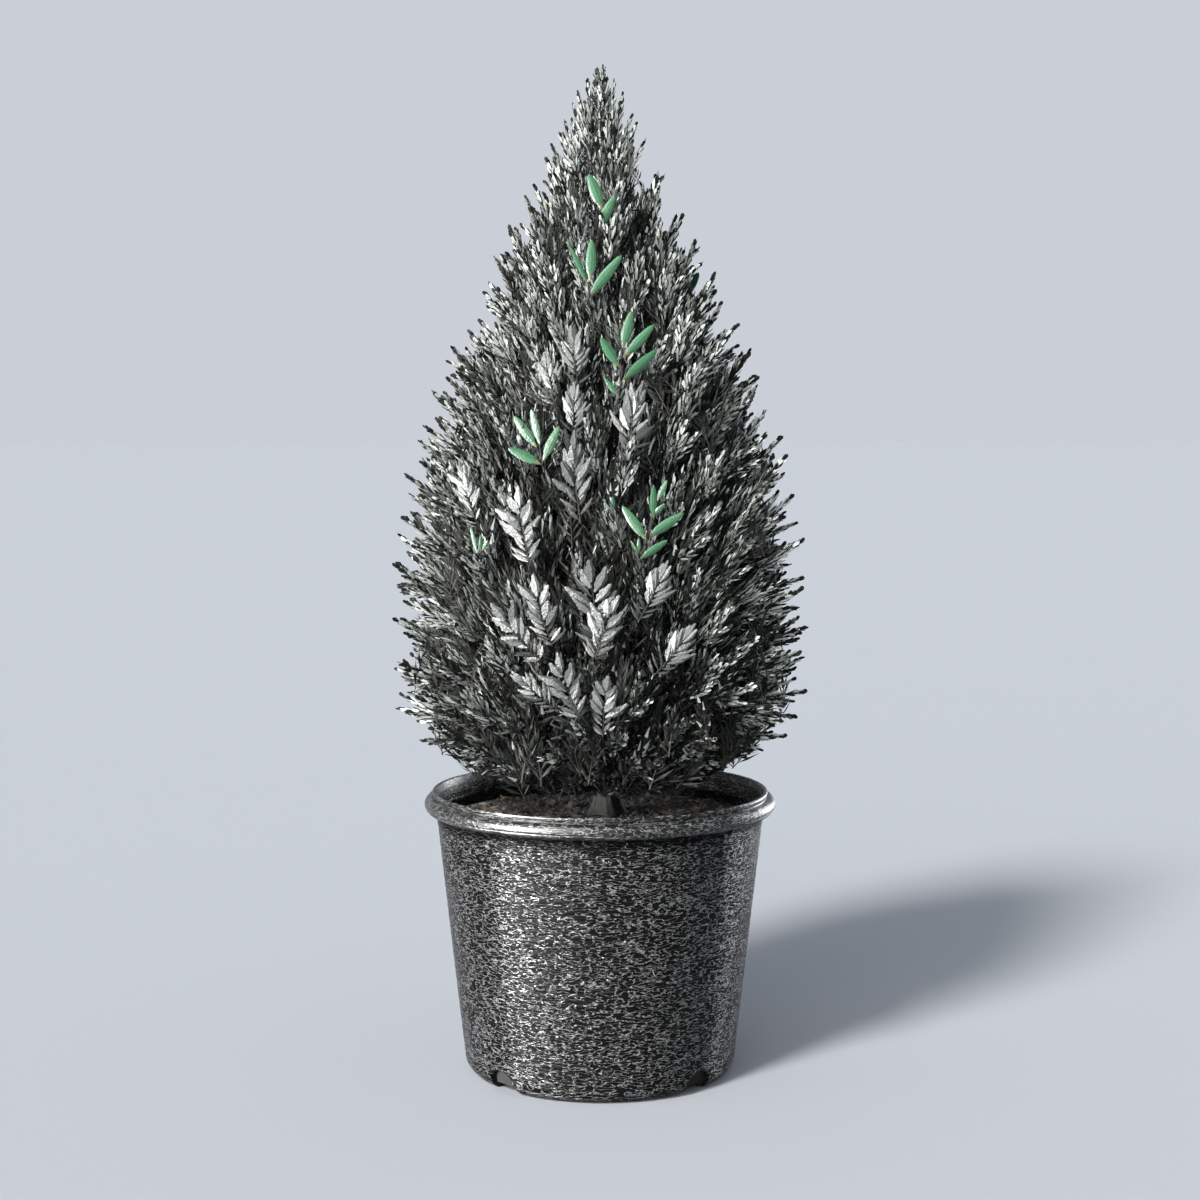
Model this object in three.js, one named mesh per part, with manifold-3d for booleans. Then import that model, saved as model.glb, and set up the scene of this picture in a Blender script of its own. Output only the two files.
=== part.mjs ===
// A young conical arborvitae in a round nursery pot: pot, potting soil, trunk, boughs and masses of foliage.
// Millimetres, +Z up. The origin is the middle of the pot's flat underside, and -Y is the front.
import * as THREE from 'three';
import { mergeVertices } from 'three/addons/utils/BufferGeometryUtils.js';
import Module from 'manifold-3d';

const wasm = await Module();
wasm.setup();

// Pot
const POT_HEIGHT = 226;
const POT_BASE_RADIUS = 107; // of the tapering wall, carried down to the ground
const POT_WALL_FLARE = 0.112; // how much the wall widens for each millimetre of height
const POT_WALL = 2.2;
const POT_FLOOR = 3.5;
const POT_CORNER = 13; // radius of the rounded edge at the foot
const RIM_RADIUS = 140;
const RIM_DEPTH = 23; // from the lip down to the underside of the rolled rim
const LIP_WIDTH = 6;
const ROLL_RADIUS = 9.7; // of the rim's round outer face
const POT_SIDES = 32;
const DRAIN_COUNT = 4;
const DRAIN_WIDTH = 28;
const DRAIN_HEIGHT = 15; // at the crown of its arch
const DRAIN_SHOULDER = 12; // height at which its sides turn into the arch
const DRAIN_INSET = 22; // how far it runs in from the wall

// Soil
const SOIL_TOP = 205.7;
const SOIL_DIP = 3.5; // how far the soil sinks from the trunk to the wall
const SOIL_LEVEL = 24; // radius of the level patch round the trunk
const SOIL_LUMPS = 1.6;
const SOIL_FLATS = 0.6;
const SOIL_RINGS = 3;
const SOIL_SIDES = 24;
const CLEARANCE = 0.3; // kept between pieces that rest on each other

// Trunk
const TRUNK_FOOT = SOIL_TOP + CLEARANCE;
const TRUNK_TIP = 764;
const TRUNK_RADIUS = 8.6;
const TRUNK_TIP_RADIUS = 1.5;
const FLARE_RADIUS = 6.5; // what the root flare adds at the ground
const FLARE_HEIGHT = 11;
const TRUNK_LEAN = 4; // the foot stands this far to the right of the tip
const TRUNK_SWAY = 2.2;
const TRUNK_SIDES = 9;
const TRUNK_RINGS = 13;

// Crown: the reach of its tips over its height, and the lines that its branches follow
const CROWN_FOOT = 238;
const CROWN_TIP = 801;
const CROWN_RADIUS = 168;
const SHOULDER = 0.2; // share of the crown's height at which it is widest
const BRANCH_RISE = 108; // most that a branch climbs between the trunk and its tip
const TIER_EDGES = [0.012, 0.135, 0.3, 0.48, 0.66, 0.84]; // shares of the crown's height
const TIER_SECTORS = [6, 6, 5, 4, 3];
const GOLDEN_TURN = Math.PI * (3 - Math.sqrt(5));
const CELL_GAP = 0.9; // from a leaf to the edge of its mass's space

// Boughs
const BOUGH_TIERS = 4; // the tiers above these grow straight from the trunk
const BOUGH_SHARE = 0.42; // of the way from the trunk to the tips
const BOUGH_RADIUS = 4.4;
const BOUGH_DROP = 12; // how far below its line a bough leaves the trunk
const BOUGH_STAGGER = 10; // between the heights at which neighbouring boughs leave the trunk
const BOUGH_SIDES = 5;
const BOUGH_STEPS = 4;

// Foliage
const CORE_INNER = 0.46; // depths on the way from the trunk to the tips
const CORE_OUTER = 0.87;
const CORE_INSET = 1.6; // from the core to the edge of its space
const CORE_ROUNDING = 0.25; // 0 is a block, 1 is a ball
const CORE_LUMPS = 0.07; // depth of its dents, as a share of the way from the trunk
const CORE_STEPS = [2, 3, 2]; // faces of a core up, sideways and outwards
const STEM_RADIUS = 2.4;
const TWIG_RADIUS = 1.6;
const SPRAY_LENGTH = 0.3; // as a share of the way from the trunk to the tips
const SPRAY_WIDTH = 0.42; // half the spread of a spray, as a share of its length
const SPRAY_THICKNESS = 0.06;
const SPRAY_TILT = 0.22; // how much more steeply a spray rises than its branch, in radians
const TURNS_TRIED = 9;
const TIER_SPRAYS = [[4, 3], [3, 4, 3], [4, 4, 3], [4, 3, 3], [3, 3, 2]]; // in each row, lowest first
const TIP_SPRAYS = 15;
const TIP_SIDES = 7;
const LEADER_LENGTH = 46; // of the spray on the very top
const LEADER_OFFSET = 2; // its place to the right of the axis
const SEED = 4127;
const WELD = 1e-3; // corners nearer than this are one
const UP = new THREE.Vector3(0, 0, 1);
const SIDEWAYS = new THREE.Vector3(1, 0, 0);

const COLOURS = {
  pot: [0x232424, 0.42],
  soil: [0x2a211b, 0.95],
  bark: [0x6a5443, 0.85],
  foliage: [0x3c5238, 0.6],
};

// A seeded number from 0 to 1 that belongs to the whole number n.
function chance(n) {
  let mixed = Math.imul(n + SEED, 0x9e3779b1) >>> 0;
  mixed = Math.imul(mixed ^ (mixed >>> 15), 0x85ebca6b) >>> 0;
  mixed = Math.imul(mixed ^ (mixed >>> 13), 0xc2b2ae35) >>> 0;
  return ((mixed ^ (mixed >>> 16)) >>> 0) / 4294967296;
}

// A closed geometry as a solid whose faces point out.
function solidOf(geometry) {
  const bare = geometry.clone();
  bare.deleteAttribute('normal');
  bare.deleteAttribute('uv');
  const merged = mergeVertices(bare, WELD);
  const vertProperties = new Float32Array(merged.attributes.position.array);
  const triVerts = new Uint32Array(merged.index.array);
  const made = new wasm.Manifold(new wasm.Mesh({ numProp: 3, vertProperties, triVerts }));
  if (made.volume() > 0) return made;
  for (let i = 0; i < triVerts.length; i += 3) {
    [triVerts[i + 1], triVerts[i + 2]] = [triVerts[i + 2], triVerts[i + 1]];
  }
  return new wasm.Manifold(new wasm.Mesh({ numProp: 3, vertProperties, triVerts }));
}

// A geometry from corners and the triangles between them.
function facets(corners, faces) {
  const geometry = new THREE.BufferGeometry();
  const positions = corners.flatMap((c) => [c.x, c.y, c.z]);
  geometry.setAttribute('position', new THREE.Float32BufferAttribute(positions, 3));
  geometry.setIndex(faces.flat());
  return geometry;
}

function geometryOf(solid) {
  const { numProp, vertProperties, triVerts } = solid.getMesh();
  const count = vertProperties.length / numProp;
  const positions = new Float32Array(count * 3);
  for (let i = 0; i < count; i++) {
    positions.set(vertProperties.subarray(i * numProp, i * numProp + 3), i * 3);
  }
  const geometry = new THREE.BufferGeometry();
  geometry.setAttribute('position', new THREE.BufferAttribute(positions, 3));
  geometry.setIndex(new THREE.BufferAttribute(triVerts, 1));
  return geometry;
}

// The solid's largest body, with any sealed hollow filled and any loose scrap dropped.
function wholeBody(solid) {
  const bodies = solidOf(geometryOf(solid)).decompose();
  bodies.sort((a, b) => b.volume() - a.volume());
  return bodies[0];
}

function meshOf(name, solid, finish) {
  const [color, roughness] = COLOURS[finish];
  const flatShading = true;
  const material = new THREE.MeshStandardMaterial({ color, roughness, metalness: 0, flatShading });
  const mesh = new THREE.Mesh(geometryOf(solid), material);
  mesh.name = name;
  return mesh;
}

// A profile of [radius, height] pairs turned round the Z axis.
function turned(profile, sides) {
  const points = profile.map(([radius, height]) => new THREE.Vector2(radius, height));
  return new THREE.LatheGeometry(points, sides).rotateX(Math.PI / 2);
}

// Points of an arc round [radius, height], with the angles counted from straight out.
function arc([radius, height], size, from, to, steps) {
  return Array.from({ length: steps + 1 }, (_, i) => {
    const angle = THREE.MathUtils.degToRad(from + ((to - from) * i) / steps);
    return [radius + size * Math.cos(angle), height + size * Math.sin(angle)];
  });
}

const wallRadius = (height) => POT_BASE_RADIUS + POT_WALL_FLARE * height;

// The pot's section: a tapering wall on a flat floor, rounded at the foot, under a thick rolled rim.
function potProfile() {
  const rimFoot = POT_HEIGHT - RIM_DEPTH;
  const inner = wallRadius(POT_HEIGHT) - POT_WALL - 1;
  const corner = [wallRadius(POT_CORNER) - POT_CORNER, POT_CORNER];
  return [
    [0, 0],
    ...arc(corner, POT_CORNER, -90, 0, 3),
    [wallRadius(rimFoot), rimFoot],
    [RIM_RADIUS - 4, rimFoot + 0.5],
    ...arc([RIM_RADIUS - ROLL_RADIUS, rimFoot + ROLL_RADIUS + 2], ROLL_RADIUS, -35, 60, 3),
    [inner + LIP_WIDTH, POT_HEIGHT - 3],
    [inner + LIP_WIDTH - 1, POT_HEIGHT],
    [inner, POT_HEIGHT - 1],
    [wallRadius(rimFoot) - POT_WALL, rimFoot],
    [corner[0] + POT_CORNER - POT_WALL, POT_CORNER],
    [corner[0] + POT_CORNER * 0.5, POT_FLOOR],
    [0, POT_FLOOR],
    [0, 0],
  ];
}

// An arched cutter for one drain hole, lying across the foot of the wall at the given azimuth.
function drainCutter(azimuth) {
  const half = DRAIN_WIDTH / 2;
  const top = half * 0.86;
  const below = -2;
  const arch = new THREE.Shape();
  arch.moveTo(-half, below);
  arch.lineTo(half, below);
  arch.lineTo(top, DRAIN_SHOULDER);
  arch.quadraticCurveTo(0, 2 * DRAIN_HEIGHT - DRAIN_SHOULDER, -top, DRAIN_SHOULDER);
  arch.closePath();
  const depth = 2 * DRAIN_INSET;
  const cutter = new THREE.ExtrudeGeometry(arch, { depth, bevelEnabled: false, curveSegments: 3 });
  cutter.rotateX(Math.PI / 2); // the arch now stands upright, and its depth runs towards -Y
  cutter.translate(0, DRAIN_INSET - POT_BASE_RADIUS, 0);
  cutter.rotateZ(azimuth);
  return solidOf(cutter);
}

function pot() {
  let shell = solidOf(turned(potProfile(), POT_SIDES));
  for (let i = 0; i < DRAIN_COUNT; i++) {
    shell = shell.subtract(drainCutter(Math.PI / 4 + (i * 2 * Math.PI) / DRAIN_COUNT));
  }
  return meshOf('pot', wholeBody(shell), 'pot');
}

// The potting soil: it fills the pot up to a rough surface that is level round the trunk. The radii leave
// room for the flats of the pot's many-sided wall.
function soil() {
  const gap = POT_WALL + CLEARANCE * 2;
  const foot = POT_FLOOR + CLEARANCE;
  const edge = wallRadius(SOIL_TOP) - gap - SOIL_FLATS;
  const profile = [
    [0, foot],
    [wallRadius(POT_CORNER) - POT_CORNER * 0.5 - gap, foot],
    [wallRadius(POT_CORNER) - gap - SOIL_FLATS, POT_CORNER + 1],
  ];
  for (let i = 0; i <= SOIL_RINGS; i++) {
    const inwards = i / SOIL_RINGS;
    profile.push([THREE.MathUtils.lerp(edge, SOIL_LEVEL, inwards), SOIL_TOP - SOIL_DIP * (1 - inwards)]);
  }
  profile.push([0, SOIL_TOP]);
  const geometry = turned(profile, SOIL_SIDES);
  const place = geometry.attributes.position;
  for (let i = 0; i < place.count; i++) {
    const [x, y, z] = [place.getX(i), place.getY(i), place.getZ(i)];
    const radius = Math.hypot(x, y);
    if (z > SOIL_TOP - SOIL_DIP - 1 && radius > SOIL_LEVEL + 1 && radius < edge - 1) {
      const lumps = Math.sin(x * 0.11 + y * 0.05) * Math.cos(y * 0.13 - x * 0.03);
      place.setZ(i, z + SOIL_LUMPS * (lumps - 0.25));
    }
  }
  return meshOf('potting_soil', solidOf(geometry), 'soil');
}

// The trunk's line: it leans from its foot to its tip and sways a little on the way.
function trunkPoint(height) {
  const share = (height - TRUNK_FOOT) / (TRUNK_TIP - TRUNK_FOOT);
  const x = TRUNK_LEAN * (1 - share) + 1 + TRUNK_SWAY * 0.6 * Math.sin(2.2 * Math.PI * share);
  const y = TRUNK_SWAY * Math.sin(1.6 * Math.PI * share);
  return new THREE.Vector3(x, y, height);
}

function trunkRadius(height) {
  const share = (height - TRUNK_FOOT) / (TRUNK_TIP - TRUNK_FOOT);
  const flare = FLARE_RADIUS * Math.exp(-(height - TRUNK_FOOT) / FLARE_HEIGHT);
  return THREE.MathUtils.lerp(TRUNK_RADIUS, TRUNK_TIP_RADIUS, share ** 0.9) + flare;
}

// A tapering limb with flat ends: a ring of corners round each point of its line, square to the line or
// to the direction given.
function limb(line, radii, sides, across, direction = null) {
  const corners = [];
  const faces = [];
  line.forEach((point, i) => {
    const before = line[Math.max(i - 1, 0)];
    const after = line[Math.min(i + 1, line.length - 1)];
    const along = direction ?? after.clone().sub(before).normalize();
    const up = new THREE.Vector3().crossVectors(along, across).normalize();
    const side = new THREE.Vector3().crossVectors(up, along);
    for (let k = 0; k < sides; k++) {
      const angle = (2 * Math.PI * k) / sides;
      const corner = point.clone().addScaledVector(side, radii[i] * Math.cos(angle));
      corners.push(corner.addScaledVector(up, radii[i] * Math.sin(angle)));
      if (i > 0) {
        const [a, b] = [(i - 1) * sides + k, (i - 1) * sides + ((k + 1) % sides)];
        faces.push([a, b, b + sides], [a, b + sides, a + sides]);
      }
    }
  });
  const last = (line.length - 1) * sides;
  for (let k = 1; k < sides - 1; k++) {
    faces.push([0, k + 1, k], [last, last + k, last + k + 1]);
  }
  return solidOf(facets(corners, faces));
}

// The trunk, or with a clearance the room that other pieces leave round it.
function trunkSolid(clearance) {
  const heights = Array.from({ length: TRUNK_RINGS }, (_, i) => {
    const share = (i / (TRUNK_RINGS - 1)) ** 1.25;
    return THREE.MathUtils.lerp(TRUNK_FOOT, TRUNK_TIP, share);
  });
  if (clearance) heights.push(TRUNK_TIP + clearance);
  const radii = heights.map((h) => trunkRadius(Math.min(h, TRUNK_TIP)) + clearance);
  return limb(heights.map(trunkPoint), radii, TRUNK_SIDES, SIDEWAYS, UP);
}

// How far from the axis the crown's tips reach at a share of its height: a sine above the shoulder, a
// rounded edge below it.
function reach(share) {
  if (share >= SHOULDER) {
    return CROWN_RADIUS * Math.sin((Math.PI / 2) * ((1 - share) / (1 - SHOULDER)) ** 1.1);
  }
  return CROWN_RADIUS * (1 - ((SHOULDER - share) / SHOULDER) ** 4) ** 0.4;
}

const crownHeight = (share) => CROWN_FOOT + share * (CROWN_TIP - CROWN_FOOT);
const rootHeight = (share) => crownHeight(share) - BRANCH_RISE * Math.sin(0.87 * Math.PI * share);

// A point on the branch line that ends at the given share of the crown's height: depth is 0 on the axis
// and 1 at the tips.
function branchPoint(share, azimuth, depth) {
  const radius = reach(share) * depth;
  const height = THREE.MathUtils.lerp(rootHeight(share), crownHeight(share), depth);
  return new THREE.Vector3(radius * Math.cos(azimuth), radius * Math.sin(azimuth), height);
}

function branchDirection(share, azimuth) {
  return branchPoint(share, azimuth, 1).sub(branchPoint(share, azimuth, 0)).normalize();
}

const branchLength = (share) => Math.hypot(reach(share), crownHeight(share) - rootHeight(share));

// How far a point lies above the cone of branch lines that ends at a share of the crown's height.
function aboveCone(share, radius, height) {
  const rise = crownHeight(share) - rootHeight(share);
  return ((height - rootHeight(share)) * reach(share) - radius * rise) / branchLength(share);
}

// The space of one mass: between two cones of branch lines and two upright planes.
function spaceOf(tier, sector) {
  const turn = (2 * Math.PI) / TIER_SECTORS[tier];
  const middle = tier * GOLDEN_TURN + sector * turn;
  const [low, high] = [TIER_EDGES[tier], TIER_EDGES[tier + 1]];
  const seed = 10000 * (tier + 1) + 1000 * sector;
  return { tier, sector, low, high, middle, half: turn / 2, share: (low + high) / 2, seed };
}

// The tip's space: above the last cone and all round the axis.
function tipSpace() {
  const low = TIER_EDGES[TIER_EDGES.length - 1];
  return { low, high: 1, middle: 0, half: Math.PI, seed: 90000 };
}

// Whether a mass's space holds a point.
function holds(space, point) {
  const radius = Math.hypot(point.x, point.y);
  if (aboveCone(space.low, radius, point.z) < CELL_GAP) return false;
  if (space.high < 1 && aboveCone(space.high, radius, point.z) > -CELL_GAP) return false;
  if (space.half < Math.PI) {
    const turn = Math.atan2(point.y, point.x) - space.middle;
    const off = Math.abs(Math.atan2(Math.sin(turn), Math.cos(turn)));
    if (radius * Math.sin(space.half - off) < CELL_GAP || off > space.half) return false;
  }
  const share = (point.z - CROWN_FOOT) / (CROWN_TIP - CROWN_FOOT);
  if (share > 1.0001) return false;
  return share < 0.02 || radius <= reach(share) + 4;
}

function clearOfTrunk(point) {
  const off = point.clone().sub(trunkPoint(point.z));
  return point.z > TRUNK_TIP || Math.hypot(off.x, off.y) > trunkRadius(point.z) + 2;
}

// A spray of scale-leaved branchlets as one toothed blade: its outline runs out over pointed lobes and the
// notches between them, and the blade is thickest in the middle. Each outline point is [share of the
// length, share of the half width], from the root to the tip along one side.
const BLADE = [[0.6, 1], [0.63, 0.42], [0.86, 0.68], [0.81, 0.2]];
const BLADE_MIDDLE = 0.54;

function bladeCorners(tip, along, across, length) {
  const normal = new THREE.Vector3().crossVectors(along, across);
  const width = length * SPRAY_WIDTH;
  const place = (u, v, w) => {
    const corner = tip.clone().addScaledVector(along, (u - 1) * length);
    return corner.addScaledVector(across, v * width).addScaledVector(normal, w);
  };
  const thick = (length * SPRAY_THICKNESS) / 2;
  const left = BLADE.map(([u, v]) => place(u, v, 0));
  const right = BLADE.map(([u, v]) => place(u, -v, 0)).reverse();
  const middle = [place(BLADE_MIDDLE, 0, thick), place(BLADE_MIDDLE, 0, -thick)];
  return [...middle, place(0, 0, 0), ...left, tip, ...right];
}

function bladeSolid(corners) {
  const count = corners.length - 2;
  const faces = [];
  for (let i = 0; i < count; i++) {
    const [a, b] = [2 + i, 2 + ((i + 1) % count)];
    faces.push([0, b, a], [1, a, b]);
  }
  return solidOf(facets(corners, faces));
}

// One spray that keeps to its mass's space and off the trunk: it is turned about its own line and
// shortened a little until it fits, or else skipped.
function fittedSpray(space, tip, along, across, length) {
  for (let i = 0; i < TURNS_TRIED; i++) {
    const turned = across.clone().applyAxisAngle(along, (Math.PI * i) / TURNS_TRIED);
    const end = tip.clone().addScaledVector(along, -0.03 * length * i);
    const corners = bladeCorners(end, along, turned, length * (1 - 0.03 * i));
    if (corners.slice(3).every((c) => holds(space, c) && clearOfTrunk(c))) return bladeSolid(corners);
  }
  return null;
}

// The dense inside of a mass: a rounded block stretched over the middle of its space, with seeded lumps.
function core(space) {
  const block = new THREE.BoxGeometry(2, 2, 2, ...CORE_STEPS);
  const place = block.attributes.position;
  const spread = (space.high - space.low) / 2 - (1.5 * CORE_INSET) / (CROWN_TIP - CROWN_FOOT);
  for (let i = 0; i < place.count; i++) {
    const corner = new THREE.Vector3().fromBufferAttribute(place, i);
    const lump = chance(space.seed + Math.round(corner.x * 91 + corner.y * 703 + corner.z * 5099));
    corner.lerp(corner.clone().normalize(), CORE_ROUNDING).multiplyScalar(1 - 0.04 * lump);
    const share = space.share + corner.x * spread;
    const outwards = (corner.z + 1) / 2;
    const depth = THREE.MathUtils.lerp(CORE_INNER, CORE_OUTER - CORE_LUMPS * lump, outwards);
    const turn = space.half - CORE_INSET / (reach(share) * depth);
    const moved = branchPoint(share, space.middle + corner.y * turn, depth);
    place.setXYZ(i, moved.x, moved.y, moved.z);
  }
  return solidOf(block);
}

function twig(from, to) {
  const along = to.clone().sub(from).normalize();
  const across = new THREE.Vector3().crossVectors(along, UP).normalize();
  return limb([from, to], [TWIG_RADIUS, TWIG_RADIUS * 0.6], 3, across);
}

// One twig with the spray that it ends in, whose tip is at the crown's reach.
function sprayedTwig(space, stemEnd, share, azimuth, seed) {
  const tip = branchPoint(share, azimuth, 0.96 + 0.04 * chance(seed));
  const level = new THREE.Vector3().crossVectors(branchDirection(share, azimuth), UP).normalize();
  const along = branchDirection(share, azimuth).applyAxisAngle(level, SPRAY_TILT);
  const across = level.applyAxisAngle(along, Math.PI * chance(seed + 1));
  const length = branchLength(share) * SPRAY_LENGTH * (0.9 + 0.1 * chance(seed + 2));
  const spray = fittedSpray(space, tip, along, across, length);
  if (!spray) return [];
  const twigEnd = tip.clone().addScaledVector(along, -0.92 * length);
  return [spray, twig(stemEnd, twigEnd)];
}

// The twigs of one mass fan out from the end of its stem to rows of places, evenly spread and jittered.
function twigsAndSprays(space, stemEnd) {
  const rows = TIER_SPRAYS[space.tier];
  return rows.flatMap((columns, row) =>
    Array.from({ length: columns }, (_, column) => {
      const seed = space.seed + 100 * row + 10 * column;
      const up = (2 * row + 1) / rows.length - 1 + 0.2 * (chance(seed) - 0.5);
      const stagger = (row % 2 ? 0.2 : -0.2) / columns;
      const sideways = (2 * column + 1) / columns - 1 + stagger + 0.12 * (chance(seed + 1) - 0.5);
      const share = space.share + up * 0.46 * (space.high - space.low);
      return sprayedTwig(space, stemEnd, share, space.middle + sideways * 0.94 * space.half, seed + 2);
    }).flat(),
  );
}

// A bough: it leaves the trunk a little low, bends up into its line and ends where its mass begins.
function boughLine(space) {
  const start = trunkPoint(rootHeight(space.share) - BOUGH_DROP - BOUGH_STAGGER * (space.sector % 3));
  const end = branchPoint(space.share, space.middle, BOUGH_SHARE);
  const back = -0.2 * branchLength(space.share);
  const bend = end.clone().addScaledVector(branchDirection(space.share, space.middle), back);
  return new THREE.QuadraticBezierCurve3(start, bend, end).getPoints(BOUGH_STEPS);
}

function bough(space, trunkRoom) {
  const line = boughLine(space);
  const thick = BOUGH_RADIUS * (1 - 0.13 * space.tier);
  const radii = line.map((_, i) => THREE.MathUtils.lerp(thick, thick * 0.6, i / BOUGH_STEPS));
  const across = new THREE.Vector3(-Math.sin(space.middle), Math.cos(space.middle), 0);
  const whole = limb(line, radii, BOUGH_SIDES, across).subtract(trunkRoom);
  return meshOf(`bough_${space.tier + 1}_${space.sector + 1}`, wholeBody(whole), 'bark');
}

// One mass of foliage: a short stem that starts just clear of its bough's tip, or of the trunk, the core
// that the stem runs into, and the twigs and sprays that stand out of the core.
function foliageMass(space, trunkRoom) {
  const along = branchDirection(space.share, space.middle);
  const across = new THREE.Vector3(-Math.sin(space.middle), Math.cos(space.middle), 0);
  const boughTip = branchPoint(space.share, space.middle, BOUGH_SHARE);
  const onBough = space.tier < BOUGH_TIERS;
  const start = onBough ? boughTip.addScaledVector(along, CLEARANCE) : trunkPoint(rootHeight(space.share));
  const end = branchPoint(space.share, space.middle, CORE_INNER + 0.1);
  const stem = limb([start, end], [STEM_RADIUS, STEM_RADIUS * 0.8], 3, across);
  const pieces = [stem, core(space), ...twigsAndSprays(space, end)];
  const joined = wasm.Manifold.union(pieces).subtract(trunkRoom);
  return meshOf(`foliage_${space.tier + 1}_${space.sector + 1}`, wholeBody(joined), 'foliage');
}

// The tip of the crown: a slim core round the trunk's end, cut clear of it, with sprays all round that
// point more and more upwards, and the leading spray on top.
function tipMass(trunkRoom) {
  const space = tipSpace();
  const base = rootHeight(space.low);
  const widths = [[0, 0.14], [9, 0.2], [29, 0.5], [20, 0.68], [7, 0.86], [0, 0.91]];
  const profile = widths.map(([radius, up]) => [radius, THREE.MathUtils.lerp(base, CROWN_TIP, up)]);
  const pieces = [solidOf(turned(profile, TIP_SIDES))];
  for (let i = 0; i < TIP_SPRAYS; i++) {
    const seed = space.seed + 10 * i;
    const share = THREE.MathUtils.lerp(space.low + 0.02, 0.985, (i + 0.5 * chance(seed)) / TIP_SPRAYS);
    const tip = branchPoint(share, i * GOLDEN_TURN, 1);
    const root = trunkPoint(rootHeight(share) + 20).lerp(tip, 0.4);
    const along = tip.clone().sub(root);
    const length = along.length();
    const across = new THREE.Vector3().crossVectors(along.normalize(), UP).normalize();
    across.applyAxisAngle(along, Math.PI * chance(seed + 2));
    pieces.push(fittedSpray(space, tip, along, across, length));
  }
  const top = new THREE.Vector3(LEADER_OFFSET, 0, CROWN_TIP);
  pieces.push(bladeSolid(bladeCorners(top, UP, SIDEWAYS, LEADER_LENGTH)));
  const joined = wasm.Manifold.union(pieces.filter(Boolean)).subtract(trunkRoom);
  return meshOf('foliage_tip', wholeBody(joined), 'foliage');
}

const trunkRoom = trunkSolid(CLEARANCE);
const plant = new THREE.Group();
plant.name = 'potted_arborvitae';
plant.add(pot(), soil(), meshOf('trunk', trunkSolid(0), 'bark'));
TIER_SECTORS.forEach((sectors, tier) => {
  for (let sector = 0; sector < sectors; sector++) {
    const space = spaceOf(tier, sector);
    if (tier < BOUGH_TIERS) plant.add(bough(space, trunkRoom));
    plant.add(foliageMass(space, trunkRoom));
  }
});
plant.add(tipMass(trunkRoom));

export default plant;
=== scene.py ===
"""A young conical arborvitae in a black nursery pot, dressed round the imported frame.

Everything is in metres in the frame's own axes: +Z is up, the origin is the middle of the pot's flat
underside, and -Y is the front. The crown follows the rule of the part's source: each spray ends on a branch
line that climbs from the trunk to the crown's surface. Here the rule is carried on from the boughs to limbs,
twigs and fine sprays.
"""
import functools
import math
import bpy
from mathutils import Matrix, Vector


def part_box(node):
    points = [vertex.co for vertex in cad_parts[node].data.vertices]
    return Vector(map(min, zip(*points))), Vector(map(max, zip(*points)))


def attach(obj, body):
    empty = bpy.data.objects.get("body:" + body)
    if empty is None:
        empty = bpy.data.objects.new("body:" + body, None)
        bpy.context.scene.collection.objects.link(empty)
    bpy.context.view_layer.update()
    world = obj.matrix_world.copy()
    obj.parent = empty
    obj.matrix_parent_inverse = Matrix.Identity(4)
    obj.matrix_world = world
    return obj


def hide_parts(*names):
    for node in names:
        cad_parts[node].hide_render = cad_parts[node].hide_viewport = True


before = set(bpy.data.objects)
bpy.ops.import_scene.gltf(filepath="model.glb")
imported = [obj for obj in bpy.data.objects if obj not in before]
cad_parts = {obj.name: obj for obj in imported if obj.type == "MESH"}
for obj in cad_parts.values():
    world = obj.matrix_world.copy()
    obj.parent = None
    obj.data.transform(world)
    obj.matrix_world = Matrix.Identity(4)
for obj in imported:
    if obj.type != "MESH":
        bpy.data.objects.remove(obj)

from types import SimpleNamespace

import bpy
import numpy as np
from bpy.props import FloatProperty, FloatVectorProperty, IntProperty, PointerProperty
from mathutils import Matrix

bl_info = {
    "name": "Potted Arborvitae",
    "version": (1, 0, 0),
    "blender": (4, 5, 0),
    "location": "View3D > Sidebar > Arborvitae",
    "description": "Makes a conical arborvitae in a nursery pot, with its bark, twigs and sprays",
    "category": "Add Mesh",
}

MM = 0.001
UP = np.array([0.0, 0.0, 1.0])
TAU = 2 * math.pi
GOLDEN_TURN = math.pi * (3 - math.sqrt(5))
SEED = 4127

# Sizes read from the frame
POT_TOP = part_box("pot")[1].z
SOIL_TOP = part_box("potting_soil")[1].z
TRUNK_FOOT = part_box("trunk")[0].z
TRUNK_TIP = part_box("trunk")[1].z
CROWN_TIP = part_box("foliage_tip")[1].z

# The pot's wall, as in the part's source, with a shallower rim
POT_BASE_RADIUS = 0.107
POT_WALL_FLARE = 0.112
POT_WALL = 0.0022
POT_FLOOR = 0.0035
POT_CORNER = 0.013
RIM_RADIUS = 0.140
RIM_FOOT = POT_TOP - 0.0172
ROLL_RADIUS = 0.0061
LIP_RADIUS = 0.0016
DRAIN_COUNT = 4
DRAIN_WIDTH = 0.028
DRAIN_HEIGHT = 0.0185
DRAIN_SHOULDER = 0.012
DRAIN_INSET = 0.022

# The trunk's line, as in the part's source
TRUNK_RADIUS = 0.0086
TRUNK_TIP_RADIUS = 0.0015
FLARE_RADIUS = 0.0065
FLARE_HEIGHT = 0.011
TRUNK_LEAN = 0.004
TRUNK_SWAY = 0.0022

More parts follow.
